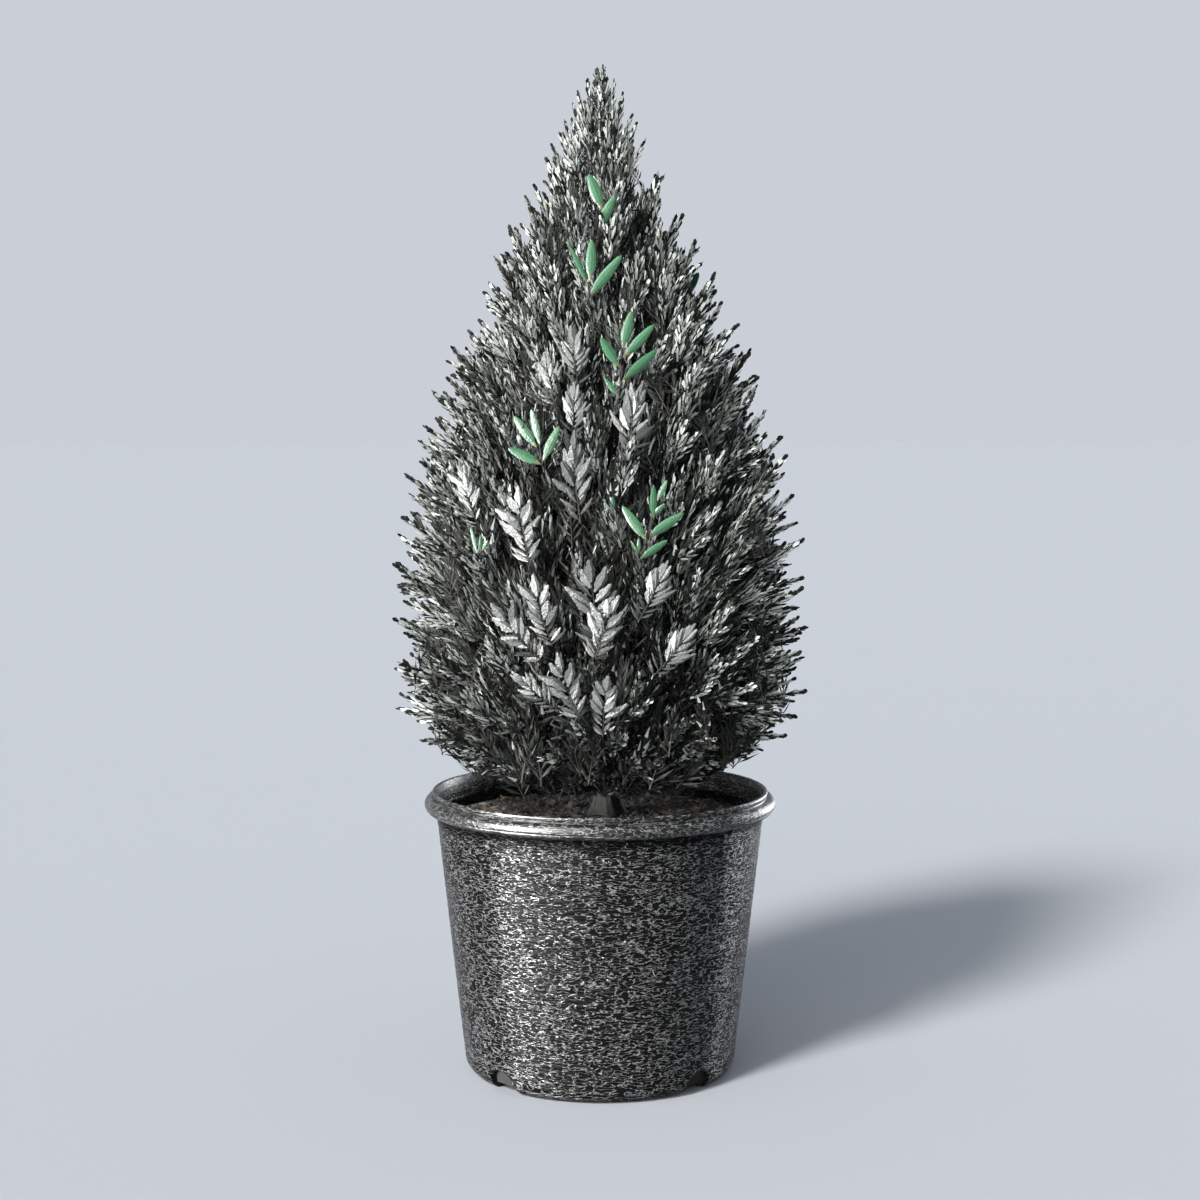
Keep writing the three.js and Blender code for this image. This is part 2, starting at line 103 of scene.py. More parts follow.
# The crown's rule, as in the part's source
CROWN_FOOT = 0.238
CROWN_RADIUS = 0.168
SHOULDER = 0.2
BRANCH_RISE = 0.108
TIER_EDGES = (0.012, 0.135, 0.3, 0.48, 0.66, 0.84)
TIER_SECTORS = (6, 6, 5, 4, 3)
LAST_TIER = len(TIER_SECTORS) - 1
TIER_TWIGS = ((4, 3), (3, 4, 3), (4, 4, 3), (4, 3, 3), (3, 3, 2))
TIP_TWIGS = 15
BOUGH_TIERS = 4
BOUGH_SHARE = 0.42
BOUGH_RADIUS = 0.0044
BOUGH_DROP = 0.012
BOUGH_STAGGER = 0.010
STEM_SHARE = 0.56

# How far the limbs and twigs run on from the boughs, as depths between the axis and the tips
LIMB_DEPTH = 0.66
TWIG_DEPTH = 0.79

# How far the sprays may stand out, and how low the foot of the crown hangs
LOWEST_TIP = 0.227
UPPER_SPREAD = 0.007
LOW_SAG = 0.014
CROWN_LIMIT = 0.1655

# The plumes of the surface, the fingers that end them, and the leader
PLUMES = 270
PLUME_RADIUS = 0.022
PLUME_DROP = 0.02
PLUME_SPREAD = 0.3
PLUME_SHADE = 0.3
TIP_LIGHT = 1.05
FINGERS = 4
FINGER_RING = 0.011
FINGER_BACK = (0.009, 0.02)
FINGER_LENGTHS = (0.05, 0.041)
LEADER_FINGERS = 22
LEADER_DEPTH = 0.066
LEADER_WIDTH = 0.043
LEADER_SHARE = 0.89
LEADER_LENGTHS = (0.046, 0.036)
BOLD_LEADERS = 3
BOLD_WIDTH = 1.6
FINE_DROP = 0.0115
FINE_LENGTH = (0.035, 0.044)
INNER_LENGTH = (0.028, 0.048)

# The pale and fresh sprays: their leaves' widths against the drawn ones, how deep the fresh ones stand, how
# far round from the front the others begin, in radians, and the room round each pale one
PALE_WIDTH = 1.2
FRESH_WIDTH = 0.5
FRESH_DEPTH = 0.95
FRESH_BEHIND = 1.95
PALE_BEHIND = 1.75
PALE_ROOM = 0.03

# The radii of limbs and twigs at their two ends, and how far they run on before they bend
LIMB_RADII = (0.0024, 0.0013)
TWIG_RADII = (0.0013, 0.0008)
TIP_TWIG_RADII = (0.0012, 0.0007)
FINE_TWIG_RADII = (0.0008, 0.00045)
FRESH_STEM_RADII = (0.0011, 0.0008)
LEAF_STALK_RADII = (0.0008, 0.0006)
TWIG_BEND = 0.012
STEM_BEND = 0.008

# The stage: the floor's rings and heights, the lights' spread, turn and rise in degrees, and the camera
FLOOR_RADII = (1.0, 4.0, 15.0, 60.0)
FLOOR_TOP = -0.0002
FLOOR_UNDERSIDE = -0.1
SUN_COLOUR = (1.0, 0.985, 0.96)
KEY_SPREAD = 12
FRONT_SPREAD = 50
FRONT_TURN = 26
FRONT_RISE = 12
STRIP_SIZE = (0.3, 0.6)
STRIP_AIM = 0.12
CAMERA_LENS = 65.35
CAMERA_SENSOR = 36.0

# The fresh green sprays of the front, in millimetres: across and height of the foot, and then for each leaf
# the across and up of its base and of its tip, from the foot, and its width
FRESH_FRONT = (
    (1.0, 667.6, ((0.4, 14.8, -9.8, 42.6, 9.6), (-1.4, 1.2, 10.9, 25.2, 8.2))),
    (-8.5, 615.0, ((-2.0, 9.8, -15.8, 39.0, 4.8), (0.4, 12.3, 1.0, 44.0, 8.3),
                   (0.0, 0.8, 24.4, 32.4, 8.6))),
    (15.6, 550.4, ((-0.7, 12.6, -14.1, 35.0, 9.5), (3.7, 26.8, 11.2, 54.3, 8.2),
                   (4.5, 20.0, 27.5, 43.9, 7.6), (0.7, 2.7, 28.5, 24.4, 9.2), (-2.2, -8.2, -11.9, 5.2, 4.5))),
    (-43.1, 491.4, ((-5.1, 12.5, -23.5, 35.3, 7.4), (-2.9, 14.7, -10.3, 40.4, 6.6),
                    (0.7, 2.9, 11.8, 28.7, 7.4), (-0.7, 0.7, -25.0, 11.8, 8.0))),
    (28.6, 421.2, ((5.8, 15.2, -11.6, 40.6, 7.6), (11.6, 30.4, 11.6, 55.8, 6.5),
                   (15.2, 42.8, 22.5, 58.7, 4.6), (11.6, 33.3, 19.6, 41.3, 4.4), (7.2, 17.4, 34.0, 34.8, 8.0),
                   (0.7, 2.2, 21.0, 15.2, 6.5), (-0.7, 5.8, -6.5, 15.2, 3.0), (0.0, 6.5, 0.0, 16.7, 3.0))),
    (-89.9, 424.0, ((-1.5, 1.5, -8.1, 21.4, 3.2), (0.7, 2.9, 0.7, 15.5, 3.4), (1.5, 3.7, 6.6, 11.8, 3.0))),
    (11.9, 457.5, ((-1.4, 2.2, -9.4, 9.4, 3.4), (-1.4, 2.9, -2.9, 10.9, 3.0))),
)
FRESH_SHAPES = 5
# The leader's first fingers, in millimetres from the crown's tip: across, back, down
LEADER_FRONT = ((0, 0, 0), (3.5, -1, 5), (-2.5, 2, 7), (-11, 2, 15), (12, -1, 16), (1, -10, 17), (-3, 9, 14),
                (-19, -3, 25), (21, 3, 26), (8, 14, 24), (-9, -13, 27), (13, -15, 30), (-14, 15, 31))
# The pale sprays of the front: across, height of the middle, length, lean from upright in degrees, and
# whether their leaves are feathery, 0, or broad, 1
PALE_FRONT = (
    (-0.019, 0.569, 0.050, -4, 0), (-0.045, 0.551, 0.042, -20, 0), (-0.021, 0.527, 0.048, 0, 0),
    (0.033, 0.520, 0.062, 14, 0), (-0.019, 0.482, 0.068, -4, 0), (-0.106, 0.467, 0.052, -24, 0),
    (-0.061, 0.446, 0.058, -10, 1), (-0.010, 0.392, 0.064, -6, 1), (-0.048, 0.383, 0.054, -14, 1),
    (0.048, 0.396, 0.050, 26, 0), (0.014, 0.370, 0.052, 22, 1), (-0.079, 0.362, 0.056, -42, 1),
    (0.068, 0.350, 0.050, 38, 0), (-0.030, 0.328, 0.054, -16, 1), (0.008, 0.314, 0.054, 6, 1),
    (-0.062, 0.318, 0.044, -50, 0),
)


# Arrays and meshes

def unit(vectors):
    """Each vector divided by its own length."""
    return vectors / np.maximum(np.linalg.norm(vectors, axis=-1, keepdims=True), 1e-12)


def polar(radius, angle, height):
    """Points at a radius, an angle and a height."""
    radius, angle, height = np.broadcast_arrays(radius, angle, height)
    return np.stack([radius * np.cos(angle), radius * np.sin(angle), height], -1)


def between(pair, share):
    """The value at a share of the way from the first of a pair to the second."""
    return pair[0] + (pair[1] - pair[0]) * share


def gaps(first, second):
    """The square of the distance from each of the first points to each of the second."""
    return ((first[:, None] - second[None]) ** 2).sum(-1)


def chance(numbers):
    """A seeded number from 0 to 1 for each whole number: it is mixed by two odd factors and shifts, in 32
    bits, as in the part's source."""
    mask = np.uint64(0xFFFFFFFF)
    mixed = (np.asarray(numbers, np.uint64) + np.uint64(SEED)) * np.uint64(0x9E3779B1) & mask
    mixed = (mixed ^ mixed >> np.uint64(15)) * np.uint64(0x85EBCA6B) & mask
    mixed = (mixed ^ mixed >> np.uint64(13)) * np.uint64(0xC2B2AE35) & mask
    return (mixed ^ mixed >> np.uint64(16)).astype(float) / 4294967296.0


def spindle_faces(rings, sides):
    """Triangles of a closed surface of corners [pole, ring after ring, pole]: a fan round each pole, and two
    triangles for each cell between neighbouring rings."""
    ring, side = np.meshgrid(np.arange(rings - 1), np.arange(sides), indexing="ij")
    a = (1 + ring * sides + side).ravel()
    b = (1 + ring * sides + (side + 1) % sides).ravel()
    cells = np.concatenate([np.stack([a, b, b + sides], -1), np.stack([a, b + sides, a + sides], -1)])
    around = np.arange(sides)
    onward = (around + 1) % sides
    last = 1 + (rings - 1) * sides
    first_pole = np.stack([np.zeros(sides, int), 1 + onward, 1 + around], -1)
    last_pole = np.stack([np.full(sides, 1 + rings * sides), last + around, last + onward], -1)
    return np.concatenate([first_pole, cells, last_pole])


def spindle_stations(rings, sides):
    """How far along the surface each triangle of spindle_faces lies: 0 at the first pole's fan, and 1 at
    the last one's."""
    cells = np.repeat(np.arange(1, rings) / rings, sides)
    return np.concatenate([np.zeros(sides), cells, cells, np.ones(sides)])


def spindle_sides(rings, sides):
    """Which side of the section each triangle of spindle_faces belongs to."""
    return np.tile(np.arange(sides), 2 * rings)


def spindles(centre, side, up, wide, thick, angles, poles):
    """Corners of closed surfaces: round each centre point, at each angle a of the section, lies
    centre + side * wide * cos a + up * thick * sin a. The two poles close the ends. The arrays hold
    (..., rings, 3) points and (..., rings) sizes."""
    ring = centre[..., None, :] + side[..., None, :] * (wide[..., None] * np.cos(angles))[..., None]
    ring = ring + up[..., None, :] * (thick[..., None] * np.sin(angles))[..., None]
    ring = ring.reshape(*ring.shape[:-3], -1, 3)
    return np.concatenate([poles[..., :1, :], ring, poles[..., 1:, :]], axis=-2)


def repeated(faces, count, corners_each):
    """The faces of one shape again for each of count copies, whose corners follow on from each other."""
    shift = np.arange(count)[:, None, None] * corners_each
    return (faces[None] + shift).reshape(-1, faces.shape[-1])


def mesh_piece(name, corners, faces, materials, slots=None, smooth=False, grain=None):
    """An object made from arrays of corners and of triangles, riding on the root body. slots gives each
    face's material, and grain each corner's place along and round its limb."""
    mesh = bpy.data.meshes.new(name)
    corners = np.ascontiguousarray(corners, np.float32).reshape(-1, 3)
    faces = np.ascontiguousarray(faces, np.int32)
    mesh.vertices.add(len(corners))
    mesh.vertices.foreach_set("co", corners.ravel())
    mesh.loops.add(faces.size)
    mesh.loops.foreach_set("vertex_index", faces.ravel())
    mesh.polygons.add(len(faces))
    mesh.polygons.foreach_set("loop_start", np.arange(0, faces.size, 3, dtype=np.int32))
    if slots is not None:
        mesh.polygons.foreach_set("material_index", np.ascontiguousarray(slots, np.int32))
    mesh.polygons.foreach_set("use_smooth", np.full(len(faces), smooth))
    mesh.update(calc_edges=True)
    if grain is not None:
        layer = mesh.attributes.new("grain", "FLOAT_VECTOR", "POINT")
        layer.data.foreach_set("vector", np.ascontiguousarray(grain, np.float32).ravel())
    for material in materials:
        mesh.materials.append(material)
    piece = bpy.data.objects.new(name, mesh)
    bpy.context.scene.collection.objects.link(piece)
    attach(piece, "root")
    return piece


# The crown's rule

def reach(share):
    """How far from the axis the tips reach at a share of the crown's height: above the shoulder a sine of the
    share still to go, below it a rounded edge, 1 - (depth below the shoulder)^4 to the power 0.4."""
    share = np.clip(share, 0, 1)
    above = np.sin(math.pi / 2 * ((1 - share) / (1 - SHOULDER)) ** 1.1)
    below = (1 - (np.maximum(SHOULDER - share, 0) / SHOULDER) ** 4) ** 0.4
    return CROWN_RADIUS * np.where(share >= SHOULDER, above, below)


def crown_height(share):
    """The height at a share of the crown, counted evenly from its foot to its tip."""
    return CROWN_FOOT + share * (CROWN_TIP - CROWN_FOOT)


def crown_share(height):
    """The share of the crown at a height: crown_height the other way round."""
    return (height - CROWN_FOOT) / (CROWN_TIP - CROWN_FOOT)


def root_height(share):
    """Where a branch leaves the trunk: its tip's height less a rise that is greatest half way up."""
    return crown_height(share) - BRANCH_RISE * np.sin(0.87 * math.pi * share)


def branch_point(share, azimuth, depth):
    """A point of the straight branch line that ends on the crown's surface at the given share and azimuth:
    depth is 0 on the axis and 1 at the surface."""
    return polar(reach(share) * depth, azimuth,
                 root_height(share) + (crown_height(share) - root_height(share)) * depth)


def branch_direction(share, azimuth):
    """The unit vector along a branch line, from the axis to the surface."""
    return unit(branch_point(share, azimuth, 1.0) - branch_point(share, azimuth, 0.0))


def branch_length(share):
    """The length of a branch line: the root of its reach squared plus its rise squared."""
    return np.hypot(reach(share), crown_height(share) - root_height(share))


def skin(share, azimuth):
    """Three unit vectors at a place of the crown's surface: out along its branch, up along the surface, which
    is the difference of two near points, and square out of it, the level tangent crossed with the rise."""
    step = 0.004
    low, high = np.clip(share - step, 0, 1), np.clip(share + step, 0, 1)
    rise = unit(branch_point(high, azimuth, 1.0) - branch_point(low, azimuth, 1.0))
    level = np.stack([-np.sin(azimuth), np.cos(azimuth), np.zeros_like(azimuth)], -1)
    return branch_direction(share, azimuth), rise, unit(np.cross(level, rise))


def trunk_share(height):
    """How far up the trunk a height is: 0 at its foot and 1 at its tip."""
    return (height - TRUNK_FOOT) / (TRUNK_TIP - TRUNK_FOOT)


def trunk_point(height):
    """The trunk's line: it leans evenly from foot to tip and sways on two sines."""
    share = trunk_share(height)
    x = TRUNK_LEAN * (1 - share) + MM + TRUNK_SWAY * 0.6 * np.sin(2.2 * math.pi * share)
    y = TRUNK_SWAY * np.sin(1.6 * math.pi * share)
    return np.stack([x, y, height + 0 * share], -1)


def trunk_radius(height):
    """A taper by share^0.9 from foot to tip, plus a flare that dies away up from the ground."""
    share = np.clip(trunk_share(height), 0, 1)
    flare = FLARE_RADIUS * np.exp(-(height - TRUNK_FOOT) / FLARE_HEIGHT)
    return TRUNK_RADIUS + (TRUNK_TIP_RADIUS - TRUNK_RADIUS) * share**0.9 + flare


def mass_spaces():
    """The space of every mass of foliage: its tier, sector, shares of the crown's height and azimuths."""
    spaces = []
    for tier, sectors in enumerate(TIER_SECTORS):
        low, high = TIER_EDGES[tier], TIER_EDGES[tier + 1]
        turn = TAU / sectors
        spaces += [SimpleNamespace(tier=tier, sector=sector, tall=high - low, share=(low + high) / 2,
                                   half=turn / 2, middle=tier * GOLDEN_TURN + sector * turn,
                                   seed=10000 * (tier + 1) + 1000 * sector) for sector in range(sectors)]
    return spaces


def twig_places():
    """The places to which the limbs of each mass fan out, by the source's rule: rows up the mass and columns
    across it, staggered and jittered. Returns their starts, shares, azimuths and the size of each patch."""
    table = []
    for space in mass_spaces():
        start = branch_point(space.share, space.middle, BOUGH_SHARE)
        if space.tier >= BOUGH_TIERS:
            start = trunk_point(np.float64(root_height(space.share)))
        bend = branch_point(space.share, space.middle, STEM_SHARE)
        rows = TIER_TWIGS[space.tier]
        for row, columns in enumerate(rows):
            seed = space.seed + 100 * row + 10 * np.arange(columns)
            up = (2 * row + 1) / len(rows) - 1 + 0.2 * (chance(seed) - 0.5)
            stagger = (0.2 if row % 2 else -0.2) / columns
            across = (2 * np.arange(columns) + 1) / columns - 1 + stagger + 0.12 * (chance(seed + 1) - 0.5)
            share = space.share + up * 0.46 * space.tall
            azimuth = space.middle + across * 0.94 * space.half
            patch = (0.46 * space.tall / len(rows), 0.94 * space.half / columns)
            table += [(*start, *bend, share[i], azimuth[i], *patch, seed[i]) for i in range(columns)]
    table = np.array(table)
    return SimpleNamespace(start=table[:, :3], bend=table[:, 3:6], share=table[:, 6], azimuth=table[:, 7],
                           patch=table[:, 8:10], seed=table[:, 10].astype(int))


# Sprays, worked out flat at unit length: x runs along the spray, y across it and z out of its face

LEAF_SECTION = np.array([0.0, 0.62, 1.0]) * math.pi
RIBBED_SECTION = np.array([0.0, 0.30, 0.5, 0.70, 1.0]) * math.pi
ROUND_SECTION = np.arange(3) / 3 * TAU
RACHIS, SHADED, LIGHT, DARK = range(4)
# The share of a leaf and of a lobe that counts as its shaded base, and how much spray and leaf cup
LEAF_BASE = 0.12
LOBE_BASE = 0.1
CUP = 0.35
# Basal lobes against the others: length, width and how many more of them are dark, as painted shade at a
# spray's foot
BASAL_LENGTH = 0.66
BASAL_WIDTH = 0.5
BASAL_DARK = 0.75


def spray_style(**changes):
    """How a kind of spray grows: where its lobes leave the rachis and how closely, their angles in degrees,
    lengths, width, twist and lift, how many are basal or dark, and whether they stand all round it."""
    common = dict(feet=(0.0, 0.82), crowding=1.0, width=0.03, twist=0.3, lift=0.0, sway=0.0, keel=0.35,
                  basal=0, stem=0.01, ridged=True, brush=False, tipped=0)
    return SimpleNamespace(**common | changes)


FINE_STYLE = spray_style(spread=(21, 10), reach=(0.36, 0.21), width=0.021, twist=0.5, dark=0.24, unruly=0.08,
                         brush=True)
FINGER_STYLE = spray_style(feet=(0.0, 0.88), spread=(30, 18), reach=(0.36, 0.12), width=0.034, twist=0.45,
                           dark=0.2, unruly=0.07, brush=True, tipped=2)
INNER_STYLE = spray_style(feet=(0.05, 0.7), crowding=0.9, spread=(44, 18), reach=(0.4, 0.28), twist=0.4,
                          lift=0.16, sway=0.02, keel=0.4, stem=0.012, dark=0.6, unruly=0.09, ridged=False)
FEATHER_STYLE = spray_style(feet=(0.02, 0.72), crowding=0.9, spread=(52, 18), reach=(0.35, 0.28), width=0.044,
                            lift=0.12, sway=0.03, keel=0.2, basal=5, stem=0.008, dark=0.15, unruly=0.15)
BROAD_STYLE = spray_style(feet=(0.02, 0.68), crowding=1.5, spread=(58, 32), reach=(0.32, 0.33), width=0.058,
                          lift=0.14, sway=0.03, keel=0.16, basal=9, stem=0.008, dark=0.05, unruly=0.14)


def lobe_outline(rings, waist, teeth, tooth_depth):
    """A lobe's half width along its length, as shares: a thin stalk that swells by a sine, leans to a sharp
    tip by a falling factor, and has small scale-like teeth."""
    along = (np.arange(rings) + 0.7) / (rings + 0.45)
    body = np.clip((along - 0.14) / 0.86, 0, 1) ** 0.8
    width = waist + (1 - waist) * 1.14 * np.sin(math.pi * body) * (1 - 0.28 * body)
    saw = (along * teeth) % 1.0
    return along, width * (1 - tooth_depth * saw)


def straight_spindle(line, half, thick, section, ends):
    """Corners of one closed surface round a line of points along x, of the given half widths and
    thicknesses."""
    side, up = np.tile([0.0, 1.0, 0.0], (len(line), 1)), np.tile(UP, (len(line), 1))
    return spindles(line, side, up, half, thick, section, np.array(ends))


def flat_lobe(outline, section, keel):
    """One leaf along x from 0 to 1, of unit half width, as a closed surface with a blunt ridge."""
    along, half = outline
    rings, sides = len(along), len(section)
    line = np.stack([along, 0 * along, 0 * along], -1)
    corners = straight_spindle(line, half, half * keel, section, [[0.0, 0, 0], [1.0, 0, 0]])
    # painted shade: the far half of the leaf beside its midrib, and its base
    zones = np.where(spindle_sides(rings, sides) >= sides // 2, DARK, LIGHT)
    zones = np.where(spindle_stations(rings, sides) < LEAF_BASE, SHADED, zones)
    return corners, spindle_faces(rings, sides), zones


def turned(vectors, angle):
    """Vectors turned about the x axis, each row by its own angle."""
    cos, sin = np.cos(angle)[:, None], np.sin(angle)[:, None]
    x, y, z = vectors[..., 0], vectors[..., 1], vectors[..., 2]
    return np.stack([x, y * cos - z * sin, y * sin + z * cos], -1)


def flat_spray(lobes, outline, section, seed, style):
    """One spray: lobes along both sides of a rachis in turn, or round it by the golden angle, and one at its
    end. A lobe's heading turns evenly from its first angle towards the tip, so its line is an arc of a
    circle. Returns corners, faces and each face's zone."""
    rng = np.random.default_rng(seed)
    number = np.arange(lobes)
    basal = number < style.basal
    side = np.where((number % 2 == 0) | style.brush, 1.0, -1.0)
    side[-1] = rng.choice([-1.0, 1.0])
    share = number / (lobes - 1)
    root = between(style.feet, share**style.crowding)
    angle = side * (np.radians(between(style.spread, share)) + rng.normal(0, style.unruly, lobes))
    angle[-1] = rng.normal(0, 0.06)
    bend = side * rng.uniform(0.15, 0.45, lobes)
    bend[-1] = 0.08
    length = between(style.reach, share) * rng.uniform(1 - 2 * style.unruly, 1 + 1.6 * style.unruly, lobes)
    length = length * np.where(basal, BASAL_LENGTH, 1.0)
    length[-1] = 1.0 - root[-1]
    width = style.width * rng.uniform(0.85, 1.15, lobes) * np.where(basal, BASAL_WIDTH, 1.0)
    twist = rng.normal(-math.pi / 2 if style.brush else 0, style.twist, lobes)
    about = number * GOLDEN_TURN * style.brush
    lift = rng.normal(0.02, style.lift, lobes)
    sway = style.sway * np.sin(math.pi * root) * rng.choice([-1.0, 1.0])

    along, half = outline
    stops = np.concatenate([[0.0], along, [1.0]])
    heading = angle[:, None] - bend[:, None] * stops
    x = root[:, None] + length[:, None] * (np.sin(angle)[:, None] - np.sin(heading)) / bend[:, None]
    y = sway[:, None] + length[:, None] * (np.cos(heading) - np.cos(angle)[:, None]) / bend[:, None]
    z = lift[:, None] * length[:, None] * stops
    inner = heading[:, 1:-1]
    flat = np.stack([-np.sin(inner), np.cos(inner), np.zeros_like(inner)], -1)
    turn = twist[:, None, None]
    across = turned(flat * np.cos(turn) + UP * np.sin(turn), about)
    normal = turned(UP * np.cos(turn) - flat * np.sin(turn), about)
    line = turned(np.stack([x, y, z], -1), about)
    wide = width[:, None] * half
    corners = spindles(line[:, 1:-1], across, normal, wide, wide * style.keel, section, line[:, [0, -1]])
    rings, sides = len(along), len(section)
    faces = repeated(spindle_faces(rings, sides), lobes, rings * sides + 2)
    # Dark lobes: some at random, most basal ones as painted shade at the spray's foot, and the last few at
    # the tip. A ridged lobe also has one side of its ridge dark, painted shade, and every lobe's base is
    # painted shade
    dark = rng.random(lobes) < style.dark + BASAL_DARK * basal
    dark = np.repeat(dark | (number >= lobes - style.tipped), len(faces) // lobes)
    if style.ridged:
        dark = dark | (np.tile(spindle_sides(rings, sides), lobes) == 1)
    at_base = np.tile(spindle_stations(rings, sides), lobes) < LOBE_BASE
    zones = np.where(at_base, SHADED, np.where(dark, DARK, LIGHT))

    stem_x = np.array([0.0, 0.8]) * root[-1]
    stem_y = style.sway * np.sin(math.pi * stem_x) * np.sign(sway[1] + 1e-9)
    thin = style.stem * np.array([1.0, 0.5])
    stem = straight_spindle(np.stack([stem_x, stem_y, 0 * stem_x], -1), thin, thin, ROUND_SECTION,
                            [[-0.01, 0, 0], [root[-1] + 0.02, 0, 0]])
    stem_faces = spindle_faces(2, 3)
    return (np.concatenate([stem, corners.reshape(-1, 3)]), np.concatenate([stem_faces, faces + len(stem)]),
            np.concatenate([np.full(len(stem_faces), RACHIS), zones]))


@functools.cache
def spray_kinds():
    """A few seeded shapes of each kind of spray, as (corners of each shape, faces, zones of each shape)."""
    def several(lobes, outline, section, seeds, *styles):
        shapes = [flat_spray(lobes, outline, section, seed, styles[seed % len(styles)]) for seed in seeds]
        return np.stack([s[0] for s in shapes]), shapes[0][1], np.stack([s[2] for s in shapes])

    blade = (np.array([0.2, 0.75]), np.array([0.75, 1.0]))
    kite = (np.array([0.45]), np.array([1.0]))
    along, half = lobe_outline(10, 0.16, 5, 0.1)
    leaf = flat_lobe((along, half**0.7), RIBBED_SECTION, 0.22)
    return {
        "fine": several(12, blade, LEAF_SECTION, range(10, 42), FINE_STYLE),
        "finger": several(22, blade, LEAF_SECTION, range(60, 84), FINGER_STYLE),
        "inner": several(13, kite, LEAF_SECTION, range(34, 40), INNER_STYLE),
        "pale": several(18, lobe_outline(8, 0.3, 3.6, 0.38), LEAF_SECTION, range(40, 56), FEATHER_STYLE,
                        BROAD_STYLE),
        "fresh": (leaf[0][None], leaf[1], leaf[2][None]),
    }


def any_shape(kind, rng, count):
    """The number of one of a kind's shapes, drawn for each of count sprays."""
    return rng.integers(0, len(spray_kinds()[kind][0]), count)


def placed_sprays(kind, shape, root, along, normal, length, curl, width):
    """World corners of many sprays. A flat point (x, y, z) goes to root + length * (x * along + y * across +
    (z + curl * x^2 - cup * y^2) * normal), so each spray curls along its length and cups across it."""
    corners = spray_kinds()[kind][0][shape]
    width = np.broadcast_to(width, len(root))[:, None]
    x, y, z = corners[..., 0], corners[..., 1] * width, corners[..., 2] * width
    z = z + curl[:, None] * x**2 - CUP * y**2
    axes = np.stack([along, np.cross(normal, along), normal], 1)
    return root[:, None] + length[:, None, None] * np.einsum("nvc,ncd->nvd", np.stack([x, y, z], -1), axes)


def upper_spread(share):
    """How far the tips of the upper crown stand out past the rule's even surface."""
    return UPPER_SPREAD * np.clip((share - 0.22) / 0.25, 0, 1)


def low_sag(share):
    """How far the sprays at the foot of the crown hang down."""
    return UP * (LOW_SAG * np.clip(1 - share / 0.06, 0, 1))[:, None]


def kept_within_reach(corners):
    """The sprays, each moved in or down by as much as its furthest corner passes the crown's reach, which
    the upright sprays of the tip widen a little."""
    share = crown_share(corners[..., 2])
    limit = np.minimum(reach(np.maximum(share, 0.045)) + upper_spread(share), CROWN_LIMIT)
    over = np.maximum((np.hypot(corners[..., 0], corners[..., 1]) - limit).max(1), 0)
    middle = corners[..., :2].mean(1)
    inward = -middle / np.maximum(np.linalg.norm(middle, axis=1, keepdims=True), 0.004)
    moved = corners.copy()
    moved[..., :2] += (inward * over[:, None])[:, None]
    moved[..., 2] -= np.maximum(moved[..., 2].max(1) - CROWN_TIP, 0)[:, None]
    moved[..., 2] += np.maximum(LOWEST_TIP - moved[..., 2].min(1), 0)[:, None]
    return moved


# The lay-out of the crown

def even_places(count, rng, jitter=0.5, spacing=(1.0, 1.0)):
    """count places over the crown's surface, each with the same area: the surface's area summed from foot to
    tip is cut in equal steps, and each step turns on by the golden angle, with jitter. spacing gives how
    wide apart they are at the foot and at the tip."""
    share = np.concatenate([np.linspace(0, 0.02, 60)[:-1], np.linspace(0.02, 1, 500)])
    radius, height = reach(share), crown_height(share)
    strip = np.hypot(np.diff(radius), np.diff(height)) * (radius[1:] + radius[:-1]) / 2
    strip = strip / np.interp(share[1:], [0.3, 1.0], spacing) ** 2
    area = np.concatenate([[0], np.cumsum(strip)])
    number = np.arange(count) + 0.5
    wanted = (number + jitter * rng.normal(0, 1.5, count)) / count * area[-1]
    shares = np.maximum(np.interp(wanted, area, share), 0.002)
    turn = 0.35 * jitter * 0.011 / np.maximum(reach(shares), 0.01)
    return shares, number * GOLDEN_TURN + rng.normal(0, 1, count) * turn


def around(count, low, high, salt):
    """Even places between two shares of the height, with a generator for what stands there."""
    local = np.random.default_rng(SEED + salt)
    share, azimuth = even_places(int(count * 1.6), local, 0.8)
    kept = (share > low) & (share < high)
    return share[kept], azimuth[kept], local


def rolled(along, outward, roll):
    """A unit normal square to along: the outward vector's part that is square to it, turned about along."""
    square = unit(outward - along * np.sum(outward * along, -1, keepdims=True))
    return square * np.cos(roll)[:, None] + np.cross(along, square) * np.sin(roll)[:, None]


def leaned(rise, outward, lean):
    """The direction on the crown's surface that leans from its rise towards the right by an angle."""
    right = unit(np.cross(rise, outward))
    return rise * np.cos(lean)[:, None] + right * np.sin(lean)[:, None]


def front_places(across, height):
    """Shares and azimuths of places on the crown's front, given by how far across and how high they are."""
    share = crown_share(height)
    back = np.sqrt(np.maximum((0.97 * reach(share)) ** 2 - across**2, 1e-6))
    return share, np.arctan2(-back, across)


def from_front(azimuth, turns=1):
    """How far round from the front an azimuth is, or from the nearest of evenly spaced sides."""
    return np.abs(np.angle(np.exp(turns * 1j * (azimuth + math.pi / 2)))) / turns


def spray_length(rng, share, limits):
    """A spray's length: a share of its branch's, within limits, more or less."""
    return np.clip(0.3 * branch_length(share), *limits) * rng.uniform(0.85, 1.15, len(share))


